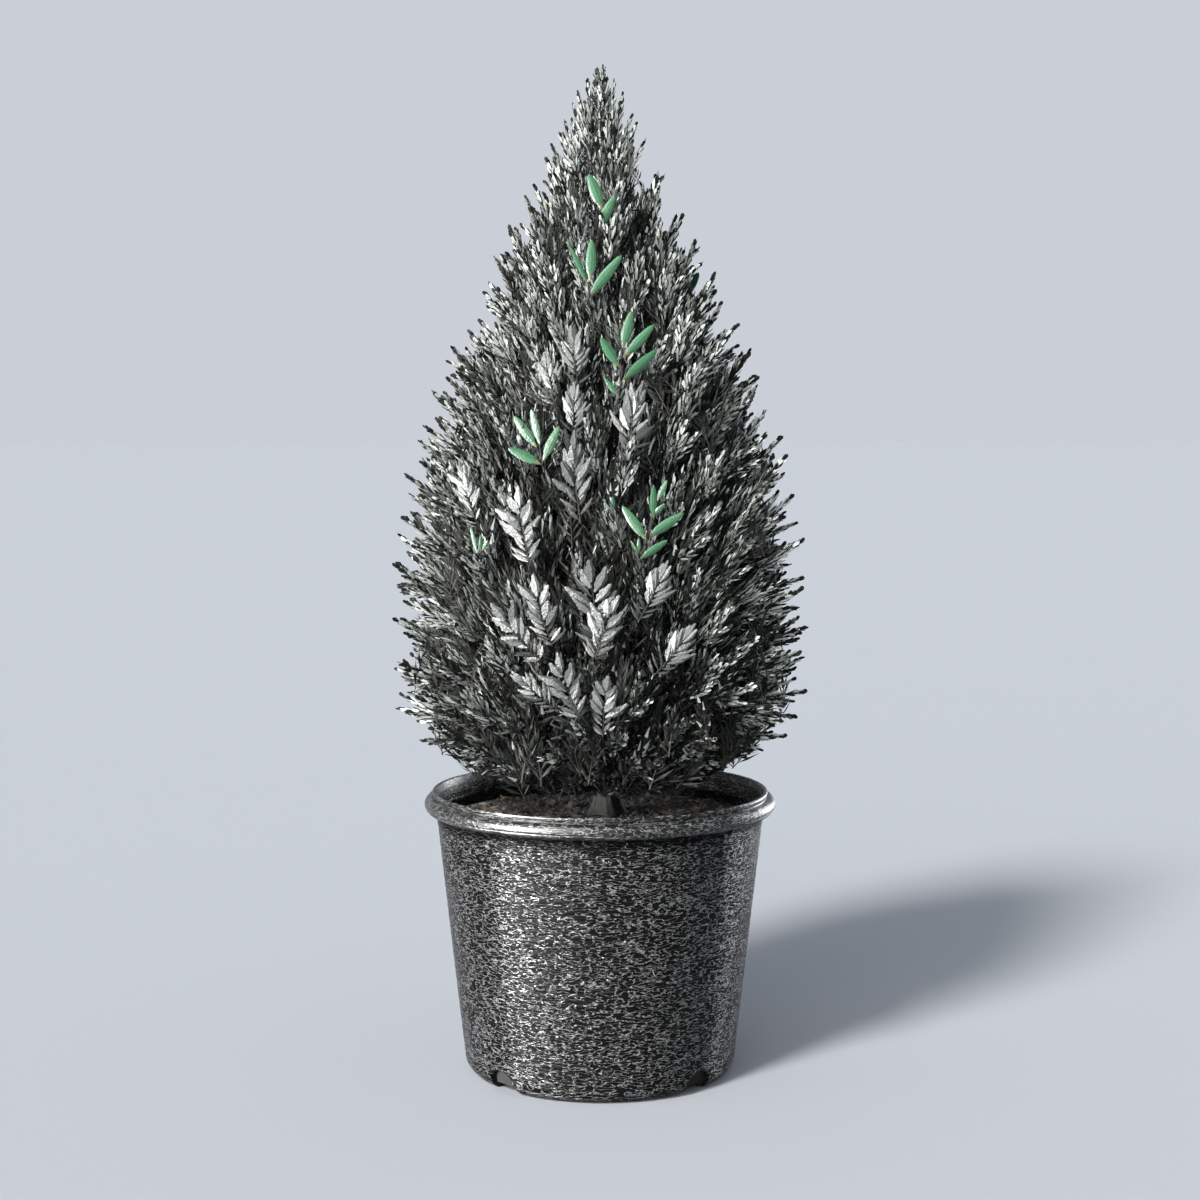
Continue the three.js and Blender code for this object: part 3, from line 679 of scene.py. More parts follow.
class CrownPlan:
    """Where every limb, twig and spray goes. Each set of sprays holds the world corners of its sprays, the
    foot and direction of each, its tone and shape, and the number of the node that its twig grows from."""

    def __init__(self, fine_count, inner_count, pale_count, fresh_count):
        self.rng = np.random.default_rng(SEED)
        self.sets = {}
        self.grow_twigs()
        self.set_fresh(fresh_count)
        self.set_pale(pale_count)
        self.proud = np.concatenate([self.sets[name].corners.mean(1) for name in ("pale", "fresh")])
        self.wide = np.concatenate([self.sets["pale"].length * 0.36, self.sets["fresh"].length * 0.42])
        self.set_fingers()
        self.set_fine(fine_count)
        self.set_inner(inner_count)

    def add(self, kind, tip, share, along, normal, length, curl, tone, shape, width=1.0):
        """Adds the sprays whose ends are at the given tips, kept within the crown's reach."""
        root = tip - along * length[:, None]
        corners = kept_within_reach(placed_sprays(kind, shape, root, along, normal, length, curl, width))
        root = corners[:, 0]
        self.sets[kind] = SimpleNamespace(kind=kind, corners=corners, root=root, along=along, length=length,
                                          share=share, tone=tone, shape=shape, node=self.nearest_node(root))

    def nearest_node(self, points):
        """The number of the twig's end that is nearest to each point."""
        return np.argmin(gaps(points, self.nodes), axis=1)

    def grow_twigs(self):
        """Each limb's end bears six twigs, two rows of three over its patch by the same rule again. The tip's
        twigs grow straight from the leader, one after another up a golden-angle spiral."""
        self.limbs = limbs = twig_places()
        self.limb_end = branch_point(limbs.share, limbs.azimuth, LIMB_DEPTH)
        row, column = np.meshgrid(np.arange(2), np.arange(3), indexing="ij")
        seed = limbs.seed[:, None] + 7 * (row * 3 + column).ravel()
        up = (row.ravel() - 0.5) + 0.35 * (chance(seed + 3) - 0.5)
        across = (column.ravel() - 1) * 0.66 + 0.3 * (chance(seed + 4) - 0.5)
        share = np.clip(limbs.share[:, None] + up * limbs.patch[:, :1], 0.004, 0.9)
        azimuth = limbs.azimuth[:, None] + across * limbs.patch[:, 1:]
        depth = TWIG_DEPTH + 0.05 * (chance(seed + 5) - 0.5)
        self.twig_from = np.repeat(self.limb_end, 6, axis=0)
        self.twig_end = branch_point(share, azimuth, depth).reshape(-1, 3)
        self.twig_way = branch_direction(share, azimuth).reshape(-1, 3)

        number = np.arange(TIP_TWIGS)
        low = TIER_EDGES[-1] + 0.02
        share = low + (0.985 - low) * (number + 0.5 * chance(90000 + 10 * number)) / TIP_TWIGS
        azimuth = number * GOLDEN_TURN
        self.tip_foot = trunk_point(np.minimum(root_height(share) + 0.02, TRUNK_TIP))
        self.tip_end = self.tip_foot + 0.5 * (branch_point(share, azimuth, 1.0) - self.tip_foot)
        self.nodes = np.concatenate([self.twig_end, self.tip_end])
        self.node_way = np.concatenate([self.twig_way, branch_direction(share, azimuth)])

    def set_fresh(self, count):
        """Fresh sprays: those of the front as listed, and the same shapes again on the other sides."""
        stands = []
        for x, z, leaves in FRESH_FRONT:
            place = front_places(np.array([x * MM]), np.array([z * MM]))
            _, rise, outward = skin(*place)
            outward = unit(outward * [0.4, 0.4, 0.2] + np.array([0, -0.6, 0]))[0]
            up = unit(rise + 0.6 * UP)[0]
            up = unit(up - outward * (up @ outward))
            foot = branch_point(*place, FRESH_DEPTH)[0]
            stands.append((foot, up, np.cross(up, outward), outward, leaves))
        share, azimuth, local = around(count, 0.14, 0.8, 2)
        behind = from_front(azimuth) > FRESH_BEHIND
        for place in zip(share[behind, None], azimuth[behind, None]):
            _, rise, outward = skin(*place)
            up = leaned(rise, outward, np.array([local.normal(0, 0.25)]))[0]
            right = np.cross(outward[0], up) * (-1 if local.random() < 0.5 else 1)
            leaves = FRESH_FRONT[local.integers(0, FRESH_SHAPES)][2]
            stands.append((branch_point(*place, FRESH_DEPTH)[0], up, right, outward[0], leaves))
        feet, ups, rights, outs = (np.array([stand[i] for stand in stands]) for i in range(4))
        leaf = np.array([row for stand in stands for row in stand[4]]) * MM
        owner = np.repeat(np.arange(len(stands)), [len(stand[4]) for stand in stands])
        total, outward = len(leaf), outs[owner]
        base, tip = (feet[owner] + rights[owner] * leaf[:, i:i + 1] + ups[owner] * leaf[:, i + 1:i + 2]
                     for i in (0, 2))
        base = base + outward * local.uniform(0.001, 0.003, (total, 1))
        tip = tip + outward * local.uniform(0.002, 0.006, (total, 1))
        length = np.linalg.norm(tip - base, axis=1)
        along = unit(tip - base)
        self.add("fresh", tip, crown_share(base[:, 2]), along,
                 rolled(along, outward, local.normal(0, 0.3, total)), length, local.uniform(-0.1, 0.0, total),
                 np.full(total, TONE_FRESH), np.zeros(total, int), FRESH_WIDTH * leaf[:, 4] / length)
        self.fresh_stems = SimpleNamespace(foot=feet, node=self.nearest_node(feet), leaf_foot=feet[owner])

    def set_pale(self, count):
        """Pale sprays: those of the front as listed, and smaller ones all round."""
        across, height, length, lean, broad = np.array(PALE_FRONT).T
        share, azimuth = front_places(across, height)
        flow, rise, outward = skin(share, azimuth)
        more_share, more_azimuth, local = around(count, 0.1, 0.62, 1)
        taken = np.concatenate([branch_point(share, azimuth, 1.0), self.sets["fresh"].corners.mean(1)])
        free = np.sqrt(gaps(branch_point(more_share, more_azimuth, 1.0), taken)).min(1) > PALE_ROOM
        free &= from_front(more_azimuth) > PALE_BEHIND
        more_share, more_azimuth = more_share[free], more_azimuth[free]
        more_flow, more_rise, more_outward = skin(more_share, more_azimuth)
        front, extra = len(share), len(more_share)
        total = front + extra
        more_length = local.uniform(0.04, 0.056, extra)
        more_along = unit(more_flow + more_rise * local.uniform(0.5, 1.5, extra)[:, None]
                          + local.normal(0, 0.12, (extra, 3)))
        more_normal = rolled(more_along, more_outward, local.normal(0, 0.35, extra))
        along = unit(leaned(rise, outward, np.radians(lean)) + 0.3 * flow)
        normal = rolled(along, outward + [0, -0.6, 0], local.normal(0, 0.12, front))
        share = np.concatenate([share + 0.45 * length / (CROWN_TIP - CROWN_FOOT), more_share])
        azimuth = np.concatenate([azimuth, more_azimuth])
        depth = np.concatenate([np.full(front, 1.0), local.uniform(0.95, 1.0, extra)])
        self.add("pale", branch_point(share, azimuth, depth), share, np.concatenate([along, more_along]),
                 np.concatenate([normal, more_normal]), np.concatenate([length, more_length]),
                 local.uniform(-0.12, 0.06, total), np.full(total, TONE_PALE),
                 np.concatenate([broad, local.integers(0, 2, extra)]).astype(int)
                 + 2 * local.integers(0, len(spray_kinds()["pale"][0]) // 2, total), PALE_WIDTH)

    def shaded(self, tip, along, length):
        """How much a pale or fresh spray beside it shades each spray, from 0 to 1."""
        middle = tip - along * length[:, None] / 2
        return np.clip(1.25 - (np.sqrt(gaps(middle, self.proud)) / self.wide[None]).min(1), 0, 1)

    def dealt(self, share, azimuth, strength, shade):
        """A tone for each spray, dealt as painted light and shade: the higher it stands and the nearer to a
        plume's tip, the paler, darker low down on three sides, one of which is the front, and mostly the
        shade tone beside a pale or fresh spray."""
        light = np.interp(share, [0.0, 0.2, 0.4, 0.7], [0.67, 0.69, 0.75, 0.85]) * strength
        beside = np.exp(-(from_front(azimuth, 3) / 0.4) ** 2)
        light = light * (1 - 0.52 * beside * np.clip((0.5 - share) / 0.25, 0, 1))
        pick = self.rng.random(len(share))
        tone = np.select([pick < 0.7 * light, pick < light, pick < light + 0.8 * (1 - light)],
                         [TONE_SILVER, TONE_SAGE, TONE_GREEN], TONE_SHADE)
        # painted shade beside a pale or fresh spray
        return np.where((shade > 0.2) & (pick > 0.1), TONE_SHADE, tone)

    def set_fingers(self):
        """The surface gathers in plumes, each pointing along its branch and leaning its own way. A plume ends
        in one finger at its tip and a ring of others round it, set back. Round the leader the fingers stand
        down a spiral, wider as they go."""
        rng = self.rng
        share, azimuth = even_places(PLUMES, np.random.default_rng(SEED + 3), 1.2, (1.0, 0.6))
        below = share < LEADER_SHARE
        share, azimuth = share[below], azimuth[below]
        plumes = len(share)
        flow, rise, outward = skin(share, azimuth)
        level = np.cross(rise, outward)
        sag = np.clip(1 - share / 0.16, 0, 1) * rng.uniform(0.2, 0.7, plumes)
        upright = 0.1 + 0.45 * np.sin(azimuth) ** 2 + rng.normal(0, 0.12, plumes)
        along = unit(flow + rise * upright[:, None] + rng.normal(0, 0.14, (plumes, 1)) * level
                     - UP * sag[:, None])
        lift = upper_spread(share) + 0.005 - 0.013 * rng.random(plumes) ** 2
        tip = branch_point(share, azimuth, 1 + lift / branch_length(share))

        owner = np.repeat(np.arange(plumes), FINGERS)
        place = np.tile(np.arange(FINGERS), plumes)
        middle, total = place == 0, len(owner)
        turn = place * TAU / (FINGERS - 1) + rng.uniform(0, TAU, plumes)[owner] + rng.normal(0, 0.25, total)
        ring = np.where(middle, 0, FINGER_RING * rng.uniform(0.75, 1.25, total))[:, None]
        offset = ring * (level[owner] * np.cos(turn)[:, None] + rise[owner] * np.sin(turn)[:, None])
        back = np.where(middle, 0, rng.uniform(*FINGER_BACK, total))
        finger_tip = tip[owner] + offset - along[owner] * back[:, None]
        finger_along = unit(along[owner] + PLUME_SPREAD * offset / FINGER_RING
                            + rng.normal(0, 0.05, (total, 3)))
        finger_length = np.where(middle, *FINGER_LENGTHS) * rng.uniform(0.9, 1.1, total)

        fall = np.sqrt(np.linspace(0.25, 1.0, LEADER_FINGERS))[:, None]
        turn = np.arange(LEADER_FINGERS) * GOLDEN_TURN + math.pi
        spiral = LEADER_WIDTH * fall * polar(1.0, turn, 0.0) - LEADER_DEPTH * fall * UP
        leader_tip = np.concatenate([np.array(LEADER_FRONT) * [MM, MM, -MM], spiral]) + [0.0, 0.0, CROWN_TIP]
        leader_along = unit(leader_tip * [11.0, 11.0, 0.0] + UP)
        number = np.arange(len(leader_tip))
        self.plumes = SimpleNamespace(
            tip=np.concatenate([tip, leader_tip]), along=np.concatenate([along, leader_along]),
            size=np.concatenate([np.full(plumes, PLUME_RADIUS), np.full(len(number), 0.6 * PLUME_RADIUS)]))
        tip = np.concatenate([finger_tip, leader_tip])
        along = np.concatenate([finger_along, leader_along])
        length = np.concatenate([finger_length, np.where(number == 0, *LEADER_LENGTHS)])
        bold = np.concatenate([np.ones(total), np.where(number < BOLD_LEADERS, BOLD_WIDTH, 1.0)])
        share, count = crown_share(tip[:, 2]), len(tip)
        shade = self.shaded(tip, along, length)
        tip = tip - along * (0.02 * np.minimum(shade * 1.6, 1))[:, None]
        normal = rolled(along, np.cross(along, UP), rng.uniform(0, TAU, count))
        curl = rng.uniform(-0.1, 0.1, count)
        tone = self.dealt(share, np.arctan2(tip[:, 1], tip[:, 0]), TIP_LIGHT, shade)
        self.add("finger", tip, share, along, normal, length, curl, np.where(bold > 1, TONE_GREEN, tone),
                 any_shape("finger", rng, count), bold)

    def set_fine(self, count):
        """Fine sprays fill the plumes: each keeps to its plume's direction, spreads a little from its middle,
        and stands lower the further it is from its tip."""
        rng, plumes = self.rng, self.plumes
        share, azimuth = even_places(count, rng)
        kept = (share < LEADER_SHARE) | (rng.random(len(share)) < 0.4)
        share, azimuth = share[kept], azimuth[kept]
        count = len(share)
        point = branch_point(share, azimuth, 1.0)
        nearest = np.argmin(gaps(point, plumes.tip) / plumes.size**2, axis=1)
        away = (point - plumes.tip[nearest]) / plumes.size[nearest][:, None]
        apart = np.minimum(np.linalg.norm(away, axis=1), 1.4)
        along = unit(plumes.along[nearest] + PLUME_SPREAD * away + rng.normal(0, 0.08, (count, 3)))
        normal = rolled(along, skin(share, azimuth)[2], rng.uniform(0, TAU, count))
        length = spray_length(rng, share, FINE_LENGTH)
        drop = FINE_DROP + PLUME_DROP * apart**1.2 + 0.005 * rng.random(count)
        depth = 1 + (upper_spread(share) - drop) / branch_length(share)
        shade = self.shaded(branch_point(share, azimuth, depth), along, length)
        tip = branch_point(share, azimuth, depth - 0.14 * np.minimum(shade * 1.6, 1)) - low_sag(share)
        self.add("fine", tip, share, along, normal, length, rng.uniform(-0.15, 0.1, count),
                 self.dealt(share, azimuth, TIP_LIGHT - PLUME_SHADE * apart, shade),
                 any_shape("fine", rng, count))

    def set_inner(self, count):
        """Inner sprays close the view into the crown. Most are dealt the shade and deep tones, painted shade,
        and a few the sage one.
        """
        rng = self.rng
        share, azimuth = even_places(count, rng)
        flow, rise, outward = skin(share, azimuth)
        along = unit(flow * rng.uniform(0.3, 1.0, count)[:, None] + rise + rng.normal(0, 0.25, (count, 3)))
        normal = rolled(along, outward, rng.normal(0, 0.5, count))
        length = spray_length(rng, share, INNER_LENGTH)
        tip = branch_point(share, azimuth, rng.uniform(0.68, 0.88, count)) - low_sag(share)
        self.add("inner", tip, share, along, normal, length, rng.uniform(-0.15, 0.1, count),
                 rng.choice([TONE_SHADE, TONE_SAGE, TONE_DEEP], count, p=[0.3, 0.15, 0.55]),
                 any_shape("inner", rng, count))


crown_plan = functools.cache(CrownPlan)


def current_plan(context):
    """The plan of the crown for the numbers of sprays that are set."""
    crown = context.scene.arborvitae_crown
    return crown_plan(crown.fine_sprays, crown.inner_sprays, crown.pale_sprays, crown.fresh_sprays)


# Limbs

def limb_lines(start, bend, end, steps):
    """Points of many bent limbs: a quadratic curve (1-t)^2 start + 2t(1-t) bend + t^2 end in equal steps."""
    t = np.linspace(0, 1, steps + 1)[:, None]
    start, bend, end = start[:, None], bend[:, None], end[:, None]
    return (1 - t) ** 2 * start + 2 * t * (1 - t) * bend + t**2 * end


def limb_tubes(lines, radii, sides, relief=None):
    """Closed tubes round many lines: a ring of corners square to the line at each point, whose radius may be
    raised and lowered by a relief. Returns the corners, faces and each corner's place in the bark's grain."""
    along = unit(np.gradient(lines, axis=1))
    level = np.cross(unit(lines[:, -1] - lines[:, 0]), UP)
    level = np.where(np.linalg.norm(level, axis=1, keepdims=True) < 0.05, [1.0, 0.0, 0.0], unit(level))
    up = unit(np.cross(along, np.broadcast_to(level[:, None], along.shape)))
    side = np.cross(up, along)
    angles = np.arange(sides) / sides * TAU
    corners = spindles(lines, side, up, radii, radii, angles, lines[:, [0, -1]])
    count, rings = lines.shape[:2]
    if relief is not None:
        ring = corners[:, 1:-1].reshape(count, rings, sides, 3)
        ring = lines[:, :, None] + (ring - lines[:, :, None]) * (1 + relief)[..., None]
        corners[:, 1:-1] = ring.reshape(count, -1, 3)
    steps = np.linalg.norm(np.diff(lines, axis=1), axis=-1)
    run = np.concatenate([np.zeros((count, 1)), np.cumsum(steps, 1)], 1)
    run = run[..., None] + 0.37 * np.arange(count)[:, None, None]
    grain = polar(radii[..., None], angles, run).reshape(count, -1, 3)
    first, last = np.zeros((2, count, 1, 3))
    first[..., 2], last[..., 2] = run[:, :1, 0], run[:, -1:, 0]
    grain = np.concatenate([first, grain, last], 1)
    faces = repeated(spindle_faces(rings, sides), count, corners.shape[1])
    return corners.reshape(-1, 3), faces, grain.reshape(-1, 3)


def bark_piece(name, parts, material):
    """One piece of bark, joined from the corners, faces and grain of each group of limbs."""
    shift = np.cumsum([0] + [len(part[0]) for part in parts[:-1]])
    corners, faces, grain = zip(*parts)
    faces = np.concatenate([part + move for part, move in zip(faces, shift)])
    return mesh_piece(name, np.concatenate(corners), faces, [material], smooth=True,
                      grain=np.concatenate(grain))


def fibrous(angle, run, depth, strips, seed):
    """Bark relief: strips that run along the limb and wander, each rising to a blunt edge, with shallow
    flakes across them. The height is depth * (|sin(strips * angle / 2 + wander)|^0.6 - 0.6 + flakes)."""
    phase = np.random.default_rng(seed).uniform(0, TAU, 6)
    wander = 0.8 * np.sin(run * 61 + phase[0] + np.sin(angle))
    wander = wander + 0.5 * np.sin(run * 143 + 2 * angle + phase[1])
    strip = np.abs(np.sin(strips * angle / 2 + wander)) ** 0.6
    flakes = 0.25 * np.sin(run * 420 + 3 * angle + phase[2]) * np.sin(run * 97 - 2 * angle + phase[3])
    fine = 0.2 * np.abs(np.sin(strips * 1.5 * angle + 2 * wander + phase[4]))
    return depth * (strip - 0.6 + flakes + fine)


# Materials

def new_material(name, base=None, **sockets):
    """A Principled material with constants set on the shader's own sockets."""
    material = bpy.data.materials.new(name)
    material.use_nodes = True
    shader = material.node_tree.nodes["Principled BSDF"]
    if base is not None:
        shader.inputs["Base Color"].default_value = (*base, 1)
    for socket, value in sockets.items():
        shader.inputs[socket.replace("_", " ")].default_value = value
    return material, material.node_tree, shader


def node(tree, kind, links=None, **values):
    """A node with its sockets set or linked: links holds {socket: output}, values {attribute: value}."""
    made = tree.nodes.new(kind)
    for key, value in values.items():
        if hasattr(made, key):
            setattr(made, key, value)
        else:
            made.inputs[key.replace("_", " ")].default_value = value
    for socket, output in (links or {}).items():
        tree.links.new(output, made.inputs[socket])
    return made


def object_place(tree):
    """The place on a piece, in Object coordinates."""
    return node(tree, "ShaderNodeTexCoord").outputs["Object"]


def noise(tree, vector, scale, detail=3.0, roughness=0.55):
    """Noise of a scale, which may differ along x, y and z."""
    if isinstance(scale, tuple):
        vector = node(tree, "ShaderNodeMapping", {"Vector": vector}, Scale=scale).outputs[0]
        scale = 1.0
    return node(tree, "ShaderNodeTexNoise", {"Vector": vector}, Scale=scale, Detail=detail,
                Roughness=roughness).outputs["Fac"]


def mapped(tree, value, low, high, to_low=0.0, to_high=1.0):
    """A value carried from one range to another and clamped."""
    return node(tree, "ShaderNodeMapRange", {"Value": value}, From_Min=low, From_Max=high, To_Min=to_low,
                To_Max=to_high).outputs["Result"]


def joined(tree, made, sockets, values):
    """Links each output and sets each number or colour on its socket."""
    for socket, value in zip(sockets, values):
        if isinstance(value, bpy.types.NodeSocket):
            tree.links.new(value, socket)
        else:
            socket.default_value = value
    return made


def blended(tree, factor, first, second):
    """A colour between two: each is an (r, g, b) or the output of a node."""
    made = node(tree, "ShaderNodeMix", {"Factor": factor}, data_type="RGBA")
    pair = [value if isinstance(value, bpy.types.NodeSocket) else (*value, 1) for value in (first, second)]
    return joined(tree, made, made.inputs[6:8], pair).outputs[2]


def combined(tree, operation, first, second):
    """A Math node on two values, each a number or an output."""
    made = node(tree, "ShaderNodeMath", operation=operation)
    return joined(tree, made, made.inputs, (first, second)).outputs[0]


def finished(tree, shader, height, strength, distance, **outputs):
    """Links outputs to the shader's sockets, and a height to its normal through a bump."""
    bump = node(tree, "ShaderNodeBump", {"Height": height}, Strength=strength, Distance=distance)
    for socket, output in {"Normal": bump.outputs["Normal"], **outputs}.items():
        tree.links.new(output, shader.inputs[socket.replace("_", " ")])


def tinted(colour, factor):
    """A colour times a factor, with no channel over 1."""
    return tuple(min(channel * factor, 1.0) for channel in colour)


def pot_plastic(pot, name, grain):
    """Satin black plastic: a pale drawn-out grain that shines over dark gaps that don't, a cloudy bloom,
    pale scuffs, and painted shade in a dark, dull band below the smoother rim."""
    material, tree, shader = new_material(name)
    times, less = (functools.partial(combined, tree, operation) for operation in ("MULTIPLY", "SUBTRACT"))
    place = object_place(tree)
    height = node(tree, "ShaderNodeSeparateXYZ", {"Vector": place}).outputs["Z"]
    rings = noise(tree, place, (14, 14, 620), 4.0, 0.7)
    cloud = noise(tree, place, 17.0, 5.0, 0.6)
    scuff = noise(tree, place, (90, 90, 900), 6.0, 0.75)
    wander = noise(tree, place, (135, 135, 470), 2.0, 0.55)
    strokes = mapped(tree, combined(tree, "ABSOLUTE", less(wander, 0.5), 0.0), 0.036, 0.01)
    patches = noise(tree, place, 23.0, 2.0, 0.5)
    scuffs = times(mapped(tree, scuff, 0.56, 0.72), mapped(tree, patches, 0.52, 0.72))
    rim = mapped(tree, height, RIM_FOOT - 0.0006, RIM_FOOT + 0.0012)
    # painted shade: below the rim the colour darkens and the shine fades, in a band that fades downwards
    under = less(mapped(tree, height, RIM_FOOT - 0.012, RIM_FOOT - 0.004), rim)
    plain = blended(tree, mapped(tree, cloud, 0.3, 0.75), pot.colour, pot.bloom)
    lined = blended(tree, times(strokes, grain), plain, pot.stroke_colour)
    scuffed = blended(tree, times(scuffs, pot.wear), lined, pot.scuff_colour)
    shine = times(mapped(tree, strokes, 0.0, 1.0, 0.03, 1.0), less(1.0, times(under, 0.8)))
    rough = mapped(tree, combined(tree, "ADD", rings, cloud), 0.7, 1.3, 0.25, 0.36)
    relief = times(combined(tree, "ADD", rings, times(strokes, 0.4)), less(1.0, times(rim, 0.75)))
    finished(tree, shader, relief, 0.8, 0.0012,
             Base_Color=blended(tree, times(under, 0.85), scuffed, pot.colour),
             Specular_IOR_Level=combined(tree, "MAXIMUM", shine, times(rim, 0.33 * grain)),
             Roughness=combined(tree, "ADD", rough, times(rim, 0.06)))
    return material


def soil_earth(name, dark, light):
    """Damp compost: dark and brown crumbs by noise at two scales, rough, with a fine grain."""
    material, tree, shader = new_material(name, Specular_IOR_Level=0.3)
    place = object_place(tree)
    lumpy = noise(tree, place, 160.0, 6.0, 0.65)
    damp = noise(tree, place, 26.0, 3.0, 0.5)
    finished(tree, shader, lumpy, 0.7, 0.0015,
             Base_Color=blended(tree, mapped(tree, lumpy, 0.35, 0.7), dark, light),
             Roughness=mapped(tree, damp, 0.3, 0.7, 0.75, 1.0))
    return material


def stringy_bark(name, dark, light, scale):
    """Thin stringy bark: fibres drawn out along the limb by its grain attribute, in two browns and grey."""
    material, tree, shader = new_material(name, Specular_IOR_Level=0.25)
    grain = node(tree, "ShaderNodeAttribute", attribute_name="grain").outputs["Vector"]
    fibres = noise(tree, grain, (scale, scale, scale * 0.08), 6.0, 0.7)
    weather = noise(tree, grain, (scale * 0.2, scale * 0.2, scale * 0.05), 3.0, 0.5)
    brown = blended(tree, mapped(tree, fibres, 0.35, 0.68), dark, light)
    grey = sum(light) / 3
    weathered = blended(tree, mapped(tree, weather, 0.45, 0.75, 0.0, 0.6), brown, (grey, grey, grey * 0.95))
    finished(tree, shader, fibres, 0.6, 0.0008, Base_Color=weathered,
             Roughness=mapped(tree, fibres, 0.3, 0.7, 0.95, 0.7))
    return material


def scale_leaves(name, colour, roughness, gloss, coat, relief):
    """Waxy overlapping scale leaves: the colour is plain, the scales are a fine cell pattern in the bump, and
    the wax is uneven."""
    material, tree, shader = new_material(name, colour, Specular_IOR_Level=gloss, Coat_Weight=coat,
                                          Coat_Roughness=0.35, Sheen_Weight=0.3 * gloss)
    place = object_place(tree)
    scales = node(tree, "ShaderNodeTexVoronoi", {"Vector": place}, Scale=620.0).outputs["Distance"]
    wax = noise(tree, place, 210.0, 2.0, 0.6)
    finished(tree, shader, scales, relief, 0.0005,
             Roughness=mapped(tree, wax, 0.3, 0.7, roughness - 0.1, roughness + 0.12))
    return material


# Each plain colour of the leaves: its roughness, gloss, coat and relief
LEAF_FINISHES = {
    "stem": (0.65, 0.1, 0.0, 0.45),
    "deep": (0.65, 0.08, 0.0, 0.45),
    "shade": (0.62, 0.12, 0.0, 0.45),
    "green": (0.6, 0.22, 0.02, 0.45),
    "sage": (0.6, 0.25, 0.03, 0.45),
    "silver": (0.6, 0.25, 0.03, 0.45),
    "fresh_base": (0.45, 0.25, 0.15, 0.45),
    "fresh": (0.45, 0.2, 0.08, 0.55),
    "fresh_half": (0.45, 0.2, 0.08, 0.55),
    "pale": (0.5, 0.2, 0.05, 1.0),
    "pale_half": (0.5, 0.2, 0.05, 0.45),
}
# For each tone of spray, the colours of its rachis, its shaded base, its light and its dark lobes. The base
# is painted shade, the dark lobes partly painted shade and partly dark at random, and the shade and deep
# tones are whole sprays painted in shade.
TONES = (
    ("stem", "deep", "shade", "deep"),
    ("stem", "deep", "green", "deep"),
    ("stem", "deep", "sage", "deep"),
    ("stem", "deep", "silver", "deep"),
    ("fresh_base", "fresh_base", "fresh", "fresh_half"),
    ("stem", "deep", "deep", "deep"),
    ("deep", "deep", "pale", "pale_half"),
)
TONE_SHADE, TONE_GREEN, TONE_SAGE, TONE_SILVER, TONE_FRESH, TONE_DEEP, TONE_PALE = range(len(TONES))
TONE_SLOTS = np.array([[list(LEAF_FINISHES).index(name) for name in tone] for tone in TONES])


@functools.cache
def leaf_materials():
    """The plain colours that are dealt out by spray."""
    greens = bpy.context.scene.arborvitae_greens
    return [scale_leaves("leaf_" + name, getattr(greens, name), *finish)
            for name, finish in LEAF_FINISHES.items()]


def foliage_piece(name, sprays, chosen, nodes):
    """One joined piece of the chosen sprays of a set, standing for the given masses of foliage."""
    _, faces, zones = spray_kinds()[sprays.kind]
    corners = sprays.corners[chosen]
    slots = TONE_SLOTS[sprays.tone[chosen][:, None], zones[sprays.shape[chosen]]].ravel()
    faces = repeated(faces, len(corners), corners.shape[1])
    piece = mesh_piece(name, corners, faces, leaf_materials(), slots)
    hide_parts(*nodes)


def mass_names(first_tier, last_tier):
    """The CAD names of the masses from one tier to another, and of the tip's after the last tier."""
    names = [f"foliage_{tier + 1}_{sector + 1}" for tier in range(first_tier, last_tier + 1)
             for sector in range(TIER_SECTORS[tier])]
    return names + ["foliage_tip"] * (last_tier == LAST_TIER)


def low_and_high_pieces(name, sprays):
    """Two pieces of a set of sprays: the two lowest tiers, and the rest."""
    low = sprays.share < TIER_EDGES[2]
    foliage_piece(name + "_low", sprays, low, mass_names(0, 1))
    foliage_piece(name + "_high", sprays, ~low, mass_names(2, LAST_TIER))


# Settings

def tint(name, description, *default):
    """A colour that can be set."""
    return FloatVectorProperty(name=name, description=description, default=default, subtype="COLOR")


def metres(name, description, default):
    """A length that can be set."""
    return FloatProperty(name=name, description=description, default=default, unit="LENGTH",
                         subtype="DISTANCE")


def amount(name, description, default, **limit):
    """A strength that can be set, from 0 up, or up to a limit given as max."""
    return FloatProperty(name=name, description=description, default=default, min=0, **limit)


def in_degrees(name, description, degrees):
    """An angle that can be set, with its default in degrees."""
    return FloatProperty(name=name, description=description, default=math.radians(degrees), unit="ROTATION",
                         subtype="ANGLE")


def whole_number(name, description, default, least=1):
    """A number of steps or pieces that can be set."""
    return IntProperty(name=name, description=description, default=default, min=least)


class PotSettings(bpy.types.PropertyGroup):
    """Sizes and colours of the nursery pot."""

    sides: whole_number("Sides", "Steps round the pot", 192, 48)
    ridge: metres("Turned ridges", "Height of the faint rings in the wall", 0.00022)
    wear: amount("Wear", "Strength of the scuffs", 0.5, max=1)
    colour: tint("Plastic", "Colour of the plastic", 0.004, 0.0041, 0.0041)
    bloom: tint("Bloom", "Colour of its weathered bloom", 0.006, 0.0061, 0.006)
    stroke_colour: tint("Grain", "Colour of the fine drawn-out grain", 0.17, 0.172, 0.17)
    scuff_colour: tint("Scuffs", "Colour of the scuffs", 0.16, 0.165, 0.17)


